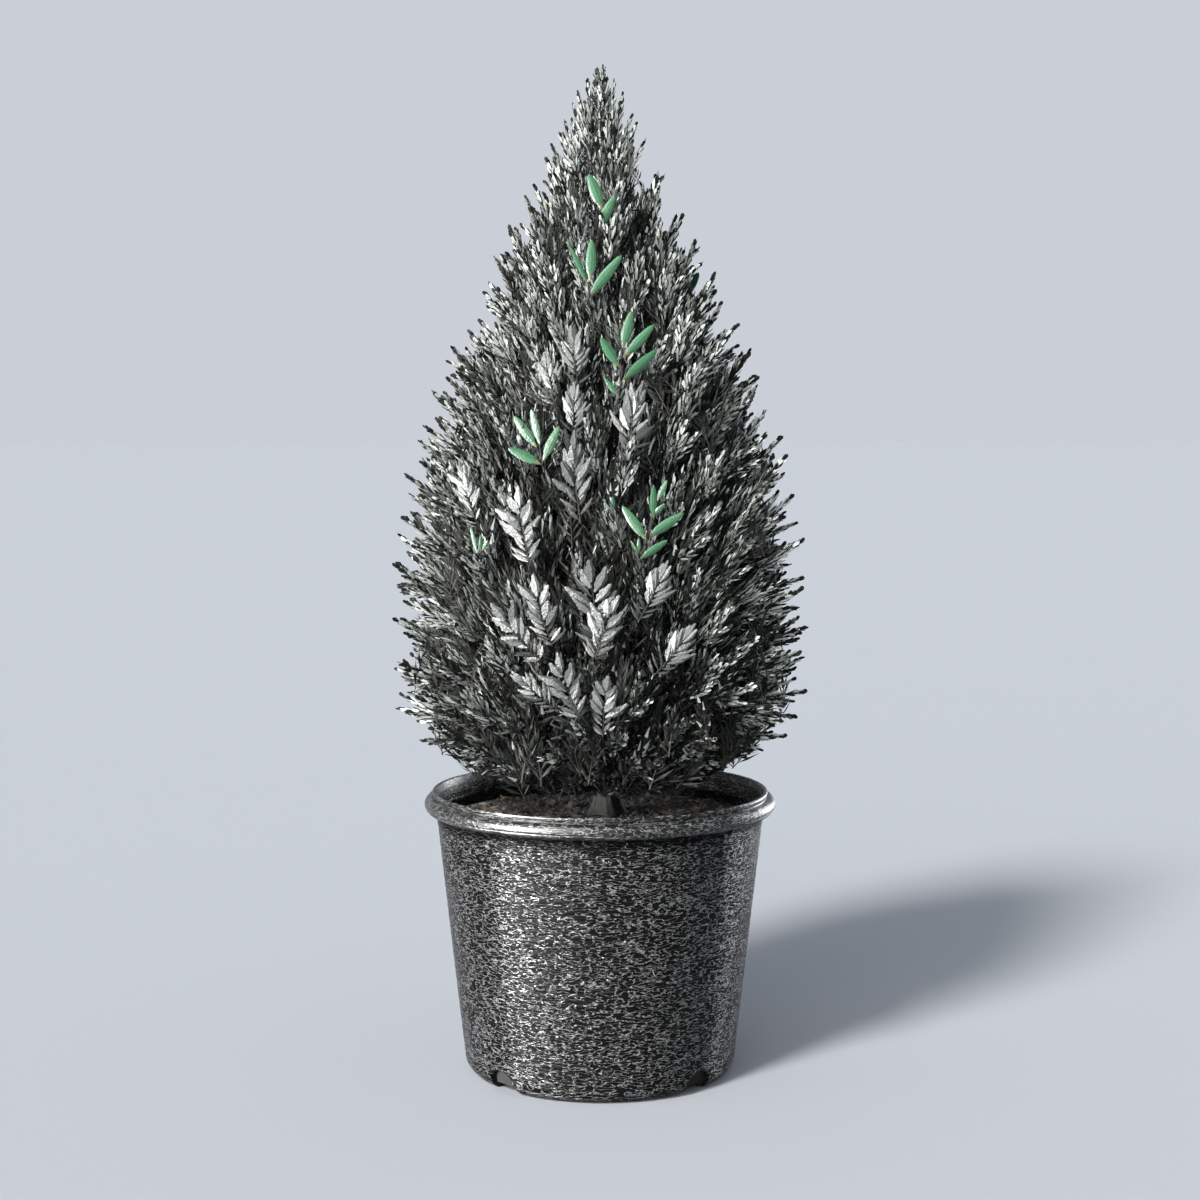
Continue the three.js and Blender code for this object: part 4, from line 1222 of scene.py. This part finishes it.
class SoilSettings(bpy.types.PropertyGroup):
    """The potting soil and what lies on it."""

    crumbs: whole_number("Crumbs", "Number of crumbs on the soil", 2600, 0)
    chips: whole_number("Bark chips", "Number of bark chips on the soil", 260, 0)
    dark: tint("Damp soil", "Colour of the damp compost", 0.02, 0.018, 0.016)
    light: tint("Dry soil", "Colour of the drier crumbs", 0.11, 0.105, 0.097)
    chip: tint("Chips", "Colour of the bark chips", 0.12, 0.085, 0.06)


class BarkSettings(bpy.types.PropertyGroup):
    """Relief and colours of the bark."""

    relief: amount("Relief", "Depth of the strips, as a share of the radius", 0.13, max=0.4)
    dark: tint("Furrows", "Colour between the strips", 0.009, 0.007, 0.0058)
    light: tint("Strips", "Colour of the strips", 0.025, 0.021, 0.018)


class CrownSettings(bpy.types.PropertyGroup):
    """How many sprays the crown has."""

    fine_sprays: whole_number("Fine sprays", "Sprays of the surface", 5000)
    inner_sprays: whole_number("Inner sprays", "Sprays inside the crown", 1900)
    pale_sprays: whole_number("Pale sprays", "Large pale sprays, about", 70)
    fresh_sprays: whole_number("Fresh sprays", "Fresh green sprays, about", 20)


class GreenSettings(bpy.types.PropertyGroup):
    """Plain colours of the leaves, dealt out by spray."""

    stem: tint("Stem", "Young stems", 0.035, 0.03, 0.022)
    # deep is near black: painted shade inside the crown, at the base of each lobe and on one side of its
    # ridge, and also the colour of lobes that are dark at random
    deep: tint("Deep", "Leaves deep inside", 0.010, 0.012, 0.010)
    # shade, green, sage and silver are dealt from dark to pale by height and nearness to a plume's tip:
    # painted light and shade over the crown
    shade: tint("Shade", "Shaded leaves", 0.024, 0.029, 0.024)
    green: tint("Green", "Older leaves", 0.16, 0.175, 0.15)
    sage: tint("Sage", "Paler leaves", 0.38, 0.41, 0.37)
    silver: tint("Silver", "Waxy pale tips", 0.6, 0.63, 0.59)
    pale: tint("Pale", "Lit half of the large pale sprays", 0.2, 0.211, 0.204)
    pale_half: tint("Pale half", "Shaded half of the large pale sprays", 0.05, 0.055, 0.05)
    fresh_base: tint("Fresh base", "Base of the fresh sprays", 0.12, 0.15, 0.06)
    fresh_half: tint("Fresh half", "Shaded half of the fresh leaves", 0.045, 0.135, 0.066)
    fresh: tint("Fresh", "Fresh green leaves", 0.062, 0.19, 0.092)


class StageSettings(bpy.types.PropertyGroup):
    """Floor, camera and lights."""

    floor: tint("Floor", "Colour of the floor", 0.394, 0.415, 0.4475)
    air: tint("Backdrop", "Colour behind the plant", 0.591, 0.624, 0.680)
    camera_distance: metres("Distance", "From the camera to the axis", 1.7256)
    camera_height: metres("Height", "Of the camera above the floor", 0.5169)
    camera_dip: in_degrees("Dip", "How far the camera looks down", 4.636)
    key: amount("Key light", "Strength of the sun-like key light", 4.6)
    key_turn: in_degrees("Key turn", "From the camera round to the left", 36.0)
    key_rise: in_degrees("Key rise", "Above the floor", 38.0)
    fill: amount("Air light", "Strength of the light from all round", 0.8)
    front: amount("Front light", "Strength of the broad light from the front", 1.9)


# Pieces

def wall_radius(height):
    """The outer radius of the pot's wall, which widens evenly with height."""
    return POT_BASE_RADIUS + POT_WALL_FLARE * height


def arc(centre, size, start, end, steps):
    """Points of an arc round (radius, height), with the angles in degrees from straight out."""
    turn = np.radians(np.linspace(start, end, steps))
    return np.stack([centre[0] + size * np.cos(turn), centre[1] + size * np.sin(turn)], -1)


def pot_profile():
    """The pot's section as (radius, height) points, from the middle of its underside round to the middle of
    its floor: rounded foot, tapering wall, rolled rim with two faint ridges, groove and lip, inner wall."""
    corner = (wall_radius(POT_CORNER) - POT_CORNER, POT_CORNER)
    heights = np.linspace(POT_CORNER, RIM_FOOT, 92)[1:]
    roll = arc((RIM_RADIUS - ROLL_RADIUS, RIM_FOOT + ROLL_RADIUS + 0.0004), ROLL_RADIUS, -88, 86, 30)
    roll[:, 0] -= 0.0006 * np.exp(-((roll[:, 1] - RIM_FOOT - 0.0042) / 0.0006) ** 2)
    lip = wall_radius(POT_TOP) + 0.0014
    inner = wall_radius(POT_TOP) - POT_WALL - 0.001
    inside = np.linspace(RIM_FOOT, POT_CORNER, 30)
    inner_corner = arc((corner[0] + 0.001, 0), POT_CORNER - 0.0095, 0, -90, 5)
    inner_corner[:, 1] = np.linspace(POT_CORNER - 0.002, POT_FLOOR, 5)
    return np.concatenate([
        [[0.03, 0.0], [0.06, 0.0]],
        arc(corner, POT_CORNER, -90, 0, 12),
        np.stack([wall_radius(heights), heights], -1),
        [[wall_radius(RIM_FOOT) + 0.0006, RIM_FOOT + 0.0008],
         [RIM_RADIUS - ROLL_RADIUS - 0.0008, RIM_FOOT + 0.0004]],
        roll,
        [[lip - 0.0004, POT_TOP - 0.0052], [lip - 0.0008, POT_TOP - 0.0045],
         [lip - 0.0003, POT_TOP - 0.0035]],
        arc((lip - 0.0014, POT_TOP - LIP_RADIUS), LIP_RADIUS, -30, 180, 9),
        [[inner + 0.0002, RIM_FOOT + 0.011], [inner - 0.0008, RIM_FOOT + 0.003]],
        np.stack([wall_radius(inside) - POT_WALL, inside], -1),
        inner_corner,
        [[0.05, POT_FLOOR]],
    ])


def drain_cutters():
    """The four arches cut through the pot's foot, as one mesh of closed prisms. Each follows the source: a
    straight-sided opening under a shallow arch, drawn inwards from the wall."""
    half = DRAIN_WIDTH / 2
    t = np.linspace(0, 1, 13)[:, None]
    right, left = np.array([[half * 0.86, DRAIN_SHOULDER]]), np.array([[-half * 0.86, DRAIN_SHOULDER]])
    crown = np.array([[0.0, 2 * DRAIN_HEIGHT - DRAIN_SHOULDER]])
    arch = (1 - t) ** 2 * right + 2 * t * (1 - t) * crown + t**2 * left
    outline = np.concatenate([[[-half, -0.002], [half, -0.002]], arch])
    sides = len(outline)
    ring = np.stack([outline[:, 0], np.zeros(sides), outline[:, 1]], -1)
    shift = np.array([[0.0, -POT_BASE_RADIUS + DRAIN_INSET, 0.0], [0.0, -POT_BASE_RADIUS - DRAIN_INSET, 0.0]])
    poles = shift + [0.0, 0.0, 0.006]
    one = np.concatenate([poles[:1], ring + shift[0], ring + shift[1], poles[1:]])
    corners = []
    for i in range(DRAIN_COUNT):
        turn = math.pi / 4 + i * TAU / DRAIN_COUNT
        cos, sin = math.cos(turn), math.sin(turn)
        corners.append(one @ np.array([[cos, sin, 0], [-sin, cos, 0], [0, 0, 1]]))
    return np.concatenate(corners), repeated(spindle_faces(2, sides), DRAIN_COUNT, len(one))


class ARBORVITAE_OT_pot(bpy.types.Operator):
    """Make the nursery pot with its rolled rim and drain holes"""

    bl_idname = "arborvitae.pot"
    bl_label = "Pot"

    def execute(self, context):
        settings = context.scene.arborvitae_pot
        profile = pot_profile()
        angles = np.arange(settings.sides) / settings.sides * TAU
        radius, height = profile[:, :1], profile[:, 1:]
        wall = (height > POT_CORNER) & (height < RIM_FOOT - 0.002) & (radius > 0.09)
        rings = np.sin(height * 760) + 0.6 * np.sin(height * 1130 + 1) + 0.4 * np.sin(height * 410)
        wobble = 0.00018 * np.sin(2 * angles + 14 * height) + 0.00012 * np.sin(3 * angles - 9 * height)
        radius = radius + settings.ridge * rings * wall / 2 + wobble * (height > 0.02)
        corners = np.concatenate([[[0, 0, 0]], polar(radius, angles, height).reshape(-1, 3),
                                  [[0, 0, POT_FLOOR]]])
        faces = spindle_faces(len(profile), settings.sides)
        past_lip = (np.argmax(profile[:, 1]) + 4) / len(profile)
        inside = spindle_stations(len(profile), settings.sides) > past_lip
        # The second copy has a quarter of the pale grain. It is painted shade for the inside of the pot and,
        # through the cutter's faces, for the sides of the drain holes
        plastics = [pot_plastic(settings, "pot_plastic", 0.9),
                    pot_plastic(settings, "pot_plastic_painted_shade", 0.25)]
        piece = mesh_piece("nursery_pot", corners, faces, plastics, inside.astype(int), smooth=True)
        arches, arch_faces = drain_cutters()
        cutter = mesh_piece("drain_cutter", arches, arch_faces, plastics, np.ones(len(arch_faces), int))
        cut = piece.modifiers.new("Drain holes", "BOOLEAN")
        cut.operation = "DIFFERENCE"
        cut.solver = "EXACT"
        cut.object = cutter
        depsgraph = context.evaluated_depsgraph_get()
        carved = bpy.data.meshes.new_from_object(piece.evaluated_get(depsgraph))
        piece.modifiers.clear()
        piece.data = carved
        bpy.data.objects.remove(cutter)
        if len(carved.polygons) < len(faces) // 2:
            raise RuntimeError("the drain holes could not be cut")
        carved.set_sharp_from_angle(angle=math.radians(38))
        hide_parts("pot")
        return {"FINISHED"}


def soil_height(x, y):
    """The soil's surface: a dip from the trunk to the wall, broad mounds on two crossed waves, and fine
    crumbly unevenness on shorter ones."""
    radius = np.hypot(x, y)
    dip = 0.0035 * np.clip((radius - 0.024) / 0.1, 0, 1)
    mounds = np.sin(x * 110 + y * 50) * np.cos(y * 130 - x * 30) + 0.4 * np.sin(x * 230 - y * 170 + 1)
    fine = np.sin(x * 610 + 3 * np.sin(y * 330)) * np.sin(y * 570 + 2 * np.sin(x * 410))
    fade = np.clip((radius - 0.015) / 0.015, 0, 1) * np.clip((0.1255 - radius) / 0.006, 0, 1)
    return SOIL_TOP - 0.0012 - dip + (0.0013 * mounds + 0.0006 * fine) * fade


def on_soil(radius, angle, lift=0.0):
    """Points of the soil's surface, raised by a lift."""
    points = polar(radius, angle, 0.0)
    points[..., 2] = soil_height(points[..., 0], points[..., 1]) + lift
    return points


def lumps(count, place, size, flat, sides, rng):
    """Small irregular lumps: spindles of two rings whose corners are pushed in and out at random, each turned
    its own way and scaled along its own axes."""
    angles = np.arange(sides) / sides * TAU
    along = unit(rng.normal(0, 1, (count, 3)) * [1, 1, 0.35])
    side = unit(np.cross(along, unit(rng.normal(0, 0.5, (count, 3)) + UP)))
    up = np.cross(side, along)
    poles = place[:, None] + along[:, None] * (np.array([-1.0, 1.0])[:, None] * size[:, None, None])
    centre = place[:, None] + along[:, None] * (np.array([-0.5, 0.5])[:, None] * size[:, None, None])
    wide = size[:, None] * rng.uniform(0.5, 0.8, (count, 2))
    side, up = np.repeat(side[:, None], 2, 1), np.repeat(up[:, None], 2, 1)
    corners = spindles(centre, side, up, wide, wide * flat[:, None], angles, poles)
    corners += rng.normal(0, 0.12, corners.shape) * size[:, None, None] * flat[:, None, None]
    return corners.reshape(-1, 3), repeated(spindle_faces(2, sides), count, 2 * sides + 2)


class ARBORVITAE_OT_soil(bpy.types.Operator):
    """Fill the pot with compost, and strew it with crumbs and bark chips"""

    bl_idname = "arborvitae.soil"
    bl_label = "Potting soil"

    def execute(self, context):
        settings = context.scene.arborvitae_soil
        dark, light, chip = settings.dark, settings.light, settings.chip
        edge = wall_radius(SOIL_TOP) - POT_WALL - 0.0009
        sides = 144
        angles = np.arange(sides) / sides * TAU
        radii = np.linspace(0.0, 1.0, 46)[1:] * edge
        heights = POT_FLOOR + 0.002 + (SOIL_TOP - 0.006 - POT_FLOOR) * np.linspace(0.0, 1.0, 8)[:-1]
        width = np.minimum(wall_radius(heights) - POT_WALL - 0.001, 0.094 + heights * 1.4)
        rings = np.concatenate([polar(width[:, None], angles, heights[:, None]),
                                on_soil(radii[::-1, None], angles)])
        body = np.concatenate([[[0, 0, POT_FLOOR + 0.002]], rings.reshape(-1, 3),
                               [[0, 0, soil_height(0.0, 0.0)]]])
        # The compost's lower sides, seen only through the drain holes, take a far darker copy of the damp
        # colour: painted shade
        earths = [soil_earth("soil_damp", dark, tinted(light, 0.7)),
                  soil_earth("soil_painted_shade", tinted(dark, 0.3), tinted(dark, 0.6))]
        below = spindle_stations(len(rings), sides) < (len(heights) - 0.5) / len(rings)
        piece = mesh_piece("compost", body, spindle_faces(len(rings), sides), earths, below.astype(int),
                           smooth=True)
        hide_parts("potting_soil")

        rng = np.random.default_rng(SEED + 20)
        crumb_earths = (("soil_crumb_dark", dark, light), ("soil_crumb_dry", light, tinted(light, 1.8)))
        chip_earths = (("bark_chip_dark", tinted(chip, 0.4), tinted(chip, 0.8)),
                       ("bark_chip", tinted(chip, 0.7), tinted(chip, 1.5)))
        for name, count, sizes, flats, inner, paler, earths in (
                ("soil_crumbs", settings.crumbs, (0.0008, 0.0024), (0.6, 1.0), 0.012, 0.35, crumb_earths),
                ("bark_chips", settings.chips, (0.003, 0.0062), (0.22, 0.42), 0.02, 0.5, chip_earths)):
            size, flat = rng.uniform(*sizes, count), rng.uniform(*flats, count)
            turn = rng.uniform(0, TAU, count)
            radius = np.sqrt(rng.uniform(inner**2, (edge - 0.004) ** 2, count))
            corners, faces = lumps(count, on_soil(radius, turn, 0.15 * size), size, flat, 5, rng)
            slots = np.repeat((rng.random(count) < paler).astype(int), len(faces) // count)
            piece = mesh_piece(name, corners, faces, [soil_earth(*earth) for earth in earths], slots)
            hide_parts("potting_soil")
        return {"FINISHED"}


class ARBORVITAE_OT_trunk(bpy.types.Operator):
    """Make the trunk with its lobed root flare and stringy bark"""

    bl_idname = "arborvitae.trunk"
    bl_label = "Trunk"

    def execute(self, context):
        settings = context.scene.arborvitae_bark
        sides = 60
        heights = TRUNK_FOOT + (TRUNK_TIP - TRUNK_FOOT) * np.linspace(0, 1, 300) ** 1.4
        turn = np.arange(sides) / sides * TAU
        run = (heights - TRUNK_FOOT)[:, None]
        flare = 0.16 * np.cos(5 * turn + 0.7) * np.exp(-run / 0.016)
        relief = fibrous(turn, run, settings.relief, 14, SEED + 30) + flare
        tube = limb_tubes(trunk_point(heights)[None], trunk_radius(heights)[None], sides, relief[None])
        tube[0][:, 2] = np.clip(tube[0][:, 2], TRUNK_FOOT, TRUNK_TIP)
        piece = bark_piece("trunk_bark", [tube],
                           stringy_bark("bark_trunk", settings.dark, settings.light, 900.0))
        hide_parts("trunk")
        return {"FINISHED"}


class ARBORVITAE_OT_boughs(bpy.types.Operator):
    """Make the boughs, each from the trunk to where its foliage begins"""

    bl_idname = "arborvitae.boughs"
    bl_label = "Boughs"

    def execute(self, context):
        settings = context.scene.arborvitae_bark
        spaces = [space for space in mass_spaces() if space.tier < BOUGH_TIERS]
        share, azimuth, tier, sector = (np.array([getattr(space, key) for space in spaces])
                                        for key in ("share", "middle", "tier", "sector"))
        start = trunk_point(root_height(share) - BOUGH_DROP - BOUGH_STAGGER * (sector % 3))
        end = branch_point(share, azimuth, BOUGH_SHARE)
        bend = end - branch_direction(share, azimuth) * (0.2 * branch_length(share))[:, None]
        steps, sides = 30, 16
        along = np.linspace(0, 1, steps + 1)
        taper_and_collar = 1 - 0.4 * along + 0.35 * np.exp(-along / 0.09)
        radii = (BOUGH_RADIUS * (1 - 0.13 * tier))[:, None] * taper_and_collar
        turn = np.arange(sides) / sides * TAU
        run = np.linspace(0, 0.08, steps + 1)[:, None]
        relief = np.stack([fibrous(turn, run, settings.relief * 0.8, 6, SEED + 40 + i)
                           for i in range(len(spaces))])
        tubes = limb_tubes(limb_lines(start, bend, end, steps), radii, sides, relief)
        piece = bark_piece("boughs_bark", [tubes],
                           stringy_bark("bark_bough", settings.dark, settings.light, 1300.0))
        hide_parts(*[f"bough_{space.tier + 1}_{space.sector + 1}" for space in spaces])
        return {"FINISHED"}


class ARBORVITAE_OT_twigs(bpy.types.Operator):
    """Grow limbs on from the boughs, twigs on from the limbs, and a fine twig to every spray"""

    bl_idname = "arborvitae.twigs"
    bl_label = "Limbs and twigs"

    def execute(self, context):
        settings = context.scene.arborvitae_bark
        plan = current_plan(context)
        limbs = plan.limbs
        parts = []

        def grown(start, bend, end, ends, sides, steps):
            lines = limb_lines(start, bend, end, steps)
            radii = between(ends, np.linspace(0, 1, steps + 1))
            parts.append(limb_tubes(lines, np.broadcast_to(radii, lines.shape[:2]), sides))

        grown(limbs.start, limbs.bend, plan.limb_end, LIMB_RADII, 5, 5)
        grown(plan.twig_from, plan.twig_from + TWIG_BEND * plan.twig_way, plan.twig_end, TWIG_RADII, 4, 3)
        grown(plan.tip_foot, plan.tip_foot + STEM_BEND * UP, plan.tip_end, TIP_TWIG_RADII, 4, 3)
        for name in ("fine", "finger", "inner", "pale"):
            sprays = plan.sets[name]
            start, end = plan.nodes[sprays.node], sprays.root + sprays.along * 0.002
            span = np.linalg.norm(end - start, axis=1, keepdims=True)
            grown(start, start + plan.node_way[sprays.node] * span * 0.45, end, FINE_TWIG_RADII, 3, 1)
        stems, leaf_root = plan.fresh_stems, plan.sets["fresh"].root
        start = plan.nodes[stems.node]
        grown(start, start + STEM_BEND * plan.node_way[stems.node], stems.foot, FRESH_STEM_RADII, 4, 3)
        middle = (stems.leaf_foot + leaf_root) / 2 + MM * UP
        grown(stems.leaf_foot, middle, leaf_root, LEAF_STALK_RADII, 4, 2)
        # The twigs' bark is a darker copy of the trunk's: painted shade for the twigs inside the crown
        bark = stringy_bark("bark_twig_painted_shade", tinted(settings.dark, 0.6), tinted(settings.light, 0.35), 2000.0)
        piece = bark_piece("twigs", parts, bark)
        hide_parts(*mass_names(0, len(TIER_SECTORS) - 1))
        return {"FINISHED"}


class ARBORVITAE_OT_fine_sprays(bpy.types.Operator):
    """Cover the crown with fine sprays, one piece for each tier of masses and two for the lowest"""

    bl_idname = "arborvitae.fine_sprays"
    bl_label = "Fine sprays"

    def execute(self, context):
        sprays = current_plan(context).sets["fine"]
        tier = np.searchsorted(np.array(TIER_EDGES[1:-1]), sprays.share)
        azimuth = np.arctan2(sprays.root[:, 1], sprays.root[:, 0])
        right = np.cos(azimuth - math.radians(60)) > 0
        lowest = mass_names(0, 0)
        foliage_piece("foliage_tier_1_right", sprays, (tier == 0) & right, lowest[:3])
        foliage_piece("foliage_tier_1_left", sprays, (tier == 0) & ~right, lowest[3:])
        for number in range(1, LAST_TIER + 1):
            foliage_piece(f"foliage_tier_{number + 1}", sprays, tier == number, mass_names(number, number))
        return {"FINISHED"}


class ARBORVITAE_OT_fingers(bpy.types.Operator):
    """End each plume of the crown in pointed fingers"""

    bl_idname = "arborvitae.fingers"
    bl_label = "Plume fingers"

    def execute(self, context):
        low_and_high_pieces("foliage_fingers", current_plan(context).sets["finger"])
        return {"FINISHED"}


class ARBORVITAE_OT_inner_sprays(bpy.types.Operator):
    """Fill the inside of the crown with dark sprays, painted shade"""

    bl_idname = "arborvitae.inner_sprays"
    bl_label = "Inner sprays"

    def execute(self, context):
        low_and_high_pieces("foliage_inner", current_plan(context).sets["inner"])
        return {"FINISHED"}


class ARBORVITAE_OT_large_sprays(bpy.types.Operator):
    """Set out the large pale sprays and the fresh green ones"""

    bl_idname = "arborvitae.large_sprays"
    bl_label = "Pale and fresh sprays"

    def execute(self, context):
        for name in ("pale", "fresh"):
            sprays = current_plan(context).sets[name]
            foliage_piece(f"foliage_{name}", sprays, slice(None), mass_names(0, LAST_TIER))
        return {"FINISHED"}


def placed(name, data):
    """A light or camera put in the scene."""
    thing = bpy.data.objects.new(name, data)
    bpy.context.scene.collection.objects.link(thing)
    return thing


def sun(name, power, spread, turn, rise):
    """A broad far light, its spread in degrees, turned round to the left of the camera and raised above the
    floor."""
    data = bpy.data.lights.new(name, "SUN")
    data.energy = power
    data.angle = math.radians(spread)
    data.color = SUN_COLOUR
    placed(name, data).rotation_euler = (math.pi / 2 - rise, 0.0, -turn)


def strip(name, place, power, colour):
    """An upright strip light at a place, turned to face the pot, which no camera sees."""
    data = bpy.data.lights.new(name, "AREA")
    data.shape = "RECTANGLE"
    data.size, data.size_y = STRIP_SIZE
    data.energy = power
    data.color = colour
    lamp = placed(name, data)
    away = unit(np.array(place) - np.array([0, 0, STRIP_AIM]))
    right = unit(np.cross(UP, away))
    rows = [(*row, 0.0) for row in (right, np.cross(away, right), away)]
    lamp.matrix_world = Matrix(rows + [(*place, 1.0)]).transposed()
    lamp.visible_camera = False
    lamp.visible_diffuse = False


class ARBORVITAE_OT_stage(bpy.types.Operator):
    """Make the pale floor, the soft studio light and the camera"""

    bl_idname = "arborvitae.stage"
    bl_label = "Stage"

    def execute(self, context):
        stage = context.scene.arborvitae_stage
        sides = 48
        radii = np.array(FLOOR_RADII)[:, None]
        angles = np.arange(sides) / sides * TAU
        rings = np.concatenate([polar(radii[-1:], angles, FLOOR_UNDERSIDE),
                                polar(radii, angles, FLOOR_TOP)[::-1]])
        corners = np.concatenate([[[0, 0, FLOOR_UNDERSIDE]], rings.reshape(-1, 3), [[0, 0, FLOOR_TOP]]])
        material, tree, shader = new_material("floor_paper", stage.floor, Roughness=1.0,
                                              Specular_IOR_Level=0.0)
        finished(tree, shader, noise(tree, object_place(tree), 40.0), 0.05, 0.001)
        floor = mesh_piece("floor", corners, spindle_faces(len(rings), sides), [material])

        context.scene.world = bpy.data.worlds.new("air")
        context.scene.world.use_nodes = True
        tree = context.scene.world.node_tree
        seen = tree.nodes["Background"]
        lighting = node(tree, "ShaderNodeBackground", Strength=stage.fill)
        for background in (seen, lighting):
            background.inputs["Color"].default_value = (*stage.air, 1)
        to_camera = node(tree, "ShaderNodeLightPath").outputs["Is Camera Ray"]
        both = node(tree, "ShaderNodeMixShader", {0: to_camera, 1: lighting.outputs[0], 2: seen.outputs[0]})
        tree.links.new(both.outputs[0], tree.nodes["World Output"].inputs["Surface"])

        sun("key", stage.key, KEY_SPREAD, stage.key_turn, stage.key_rise)
        sun("front", stage.front, FRONT_SPREAD, math.radians(FRONT_TURN), math.radians(FRONT_RISE))
        strip("strip_left", (-1.28, -0.97, 0.34), 410.0, (1.0, 0.99, 0.97))
        strip("rim_right", (1.15, 1.2, 0.34), 24.0, (0.95, 0.98, 1.0))

        data = bpy.data.cameras.new("camera")
        data.lens = CAMERA_LENS
        data.sensor_width = CAMERA_SENSOR
        camera = placed("camera", data)
        camera.location = (0.0, -stage.camera_distance, stage.camera_height)
        camera.rotation_euler = (math.pi / 2 - stage.camera_dip, 0.0, 0.0)
        context.scene.camera = camera
        context.scene.view_settings.view_transform = "Standard"
        return {"FINISHED"}


class ARBORVITAE_PT_panel(bpy.types.Panel):
    """Buttons for each piece of the potted arborvitae"""

    bl_label = "Potted Arborvitae"
    bl_idname = "ARBORVITAE_PT_panel"
    bl_space_type = "VIEW_3D"
    bl_region_type = "UI"
    bl_category = "Arborvitae"

    def draw(self, context):
        for operator in OPERATORS:
            self.layout.operator(operator.bl_idname, text=operator.bl_label)


SETTINGS = {
    "arborvitae_pot": PotSettings,
    "arborvitae_soil": SoilSettings,
    "arborvitae_bark": BarkSettings,
    "arborvitae_crown": CrownSettings,
    "arborvitae_greens": GreenSettings,
    "arborvitae_stage": StageSettings,
}
OPERATORS = (
    ARBORVITAE_OT_pot,
    ARBORVITAE_OT_soil,
    ARBORVITAE_OT_trunk,
    ARBORVITAE_OT_boughs,
    ARBORVITAE_OT_twigs,
    ARBORVITAE_OT_fine_sprays,
    ARBORVITAE_OT_fingers,
    ARBORVITAE_OT_inner_sprays,
    ARBORVITAE_OT_large_sprays,
    ARBORVITAE_OT_stage,
)
CLASSES = (*SETTINGS.values(), *OPERATORS, ARBORVITAE_PT_panel)


def register():
    for item in CLASSES:
        bpy.utils.register_class(item)
    for name, settings in SETTINGS.items():
        setattr(bpy.types.Scene, name, PointerProperty(type=settings))


def unregister():
    for name in SETTINGS:
        delattr(bpy.types.Scene, name)
    for item in reversed(CLASSES):
        bpy.utils.unregister_class(item)


def main():
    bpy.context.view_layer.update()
    register()
    for operator in OPERATORS:
        group, name = operator.bl_idname.split(".")
        getattr(getattr(bpy.ops, group), name)()


if __name__ == "__main__":
    main()
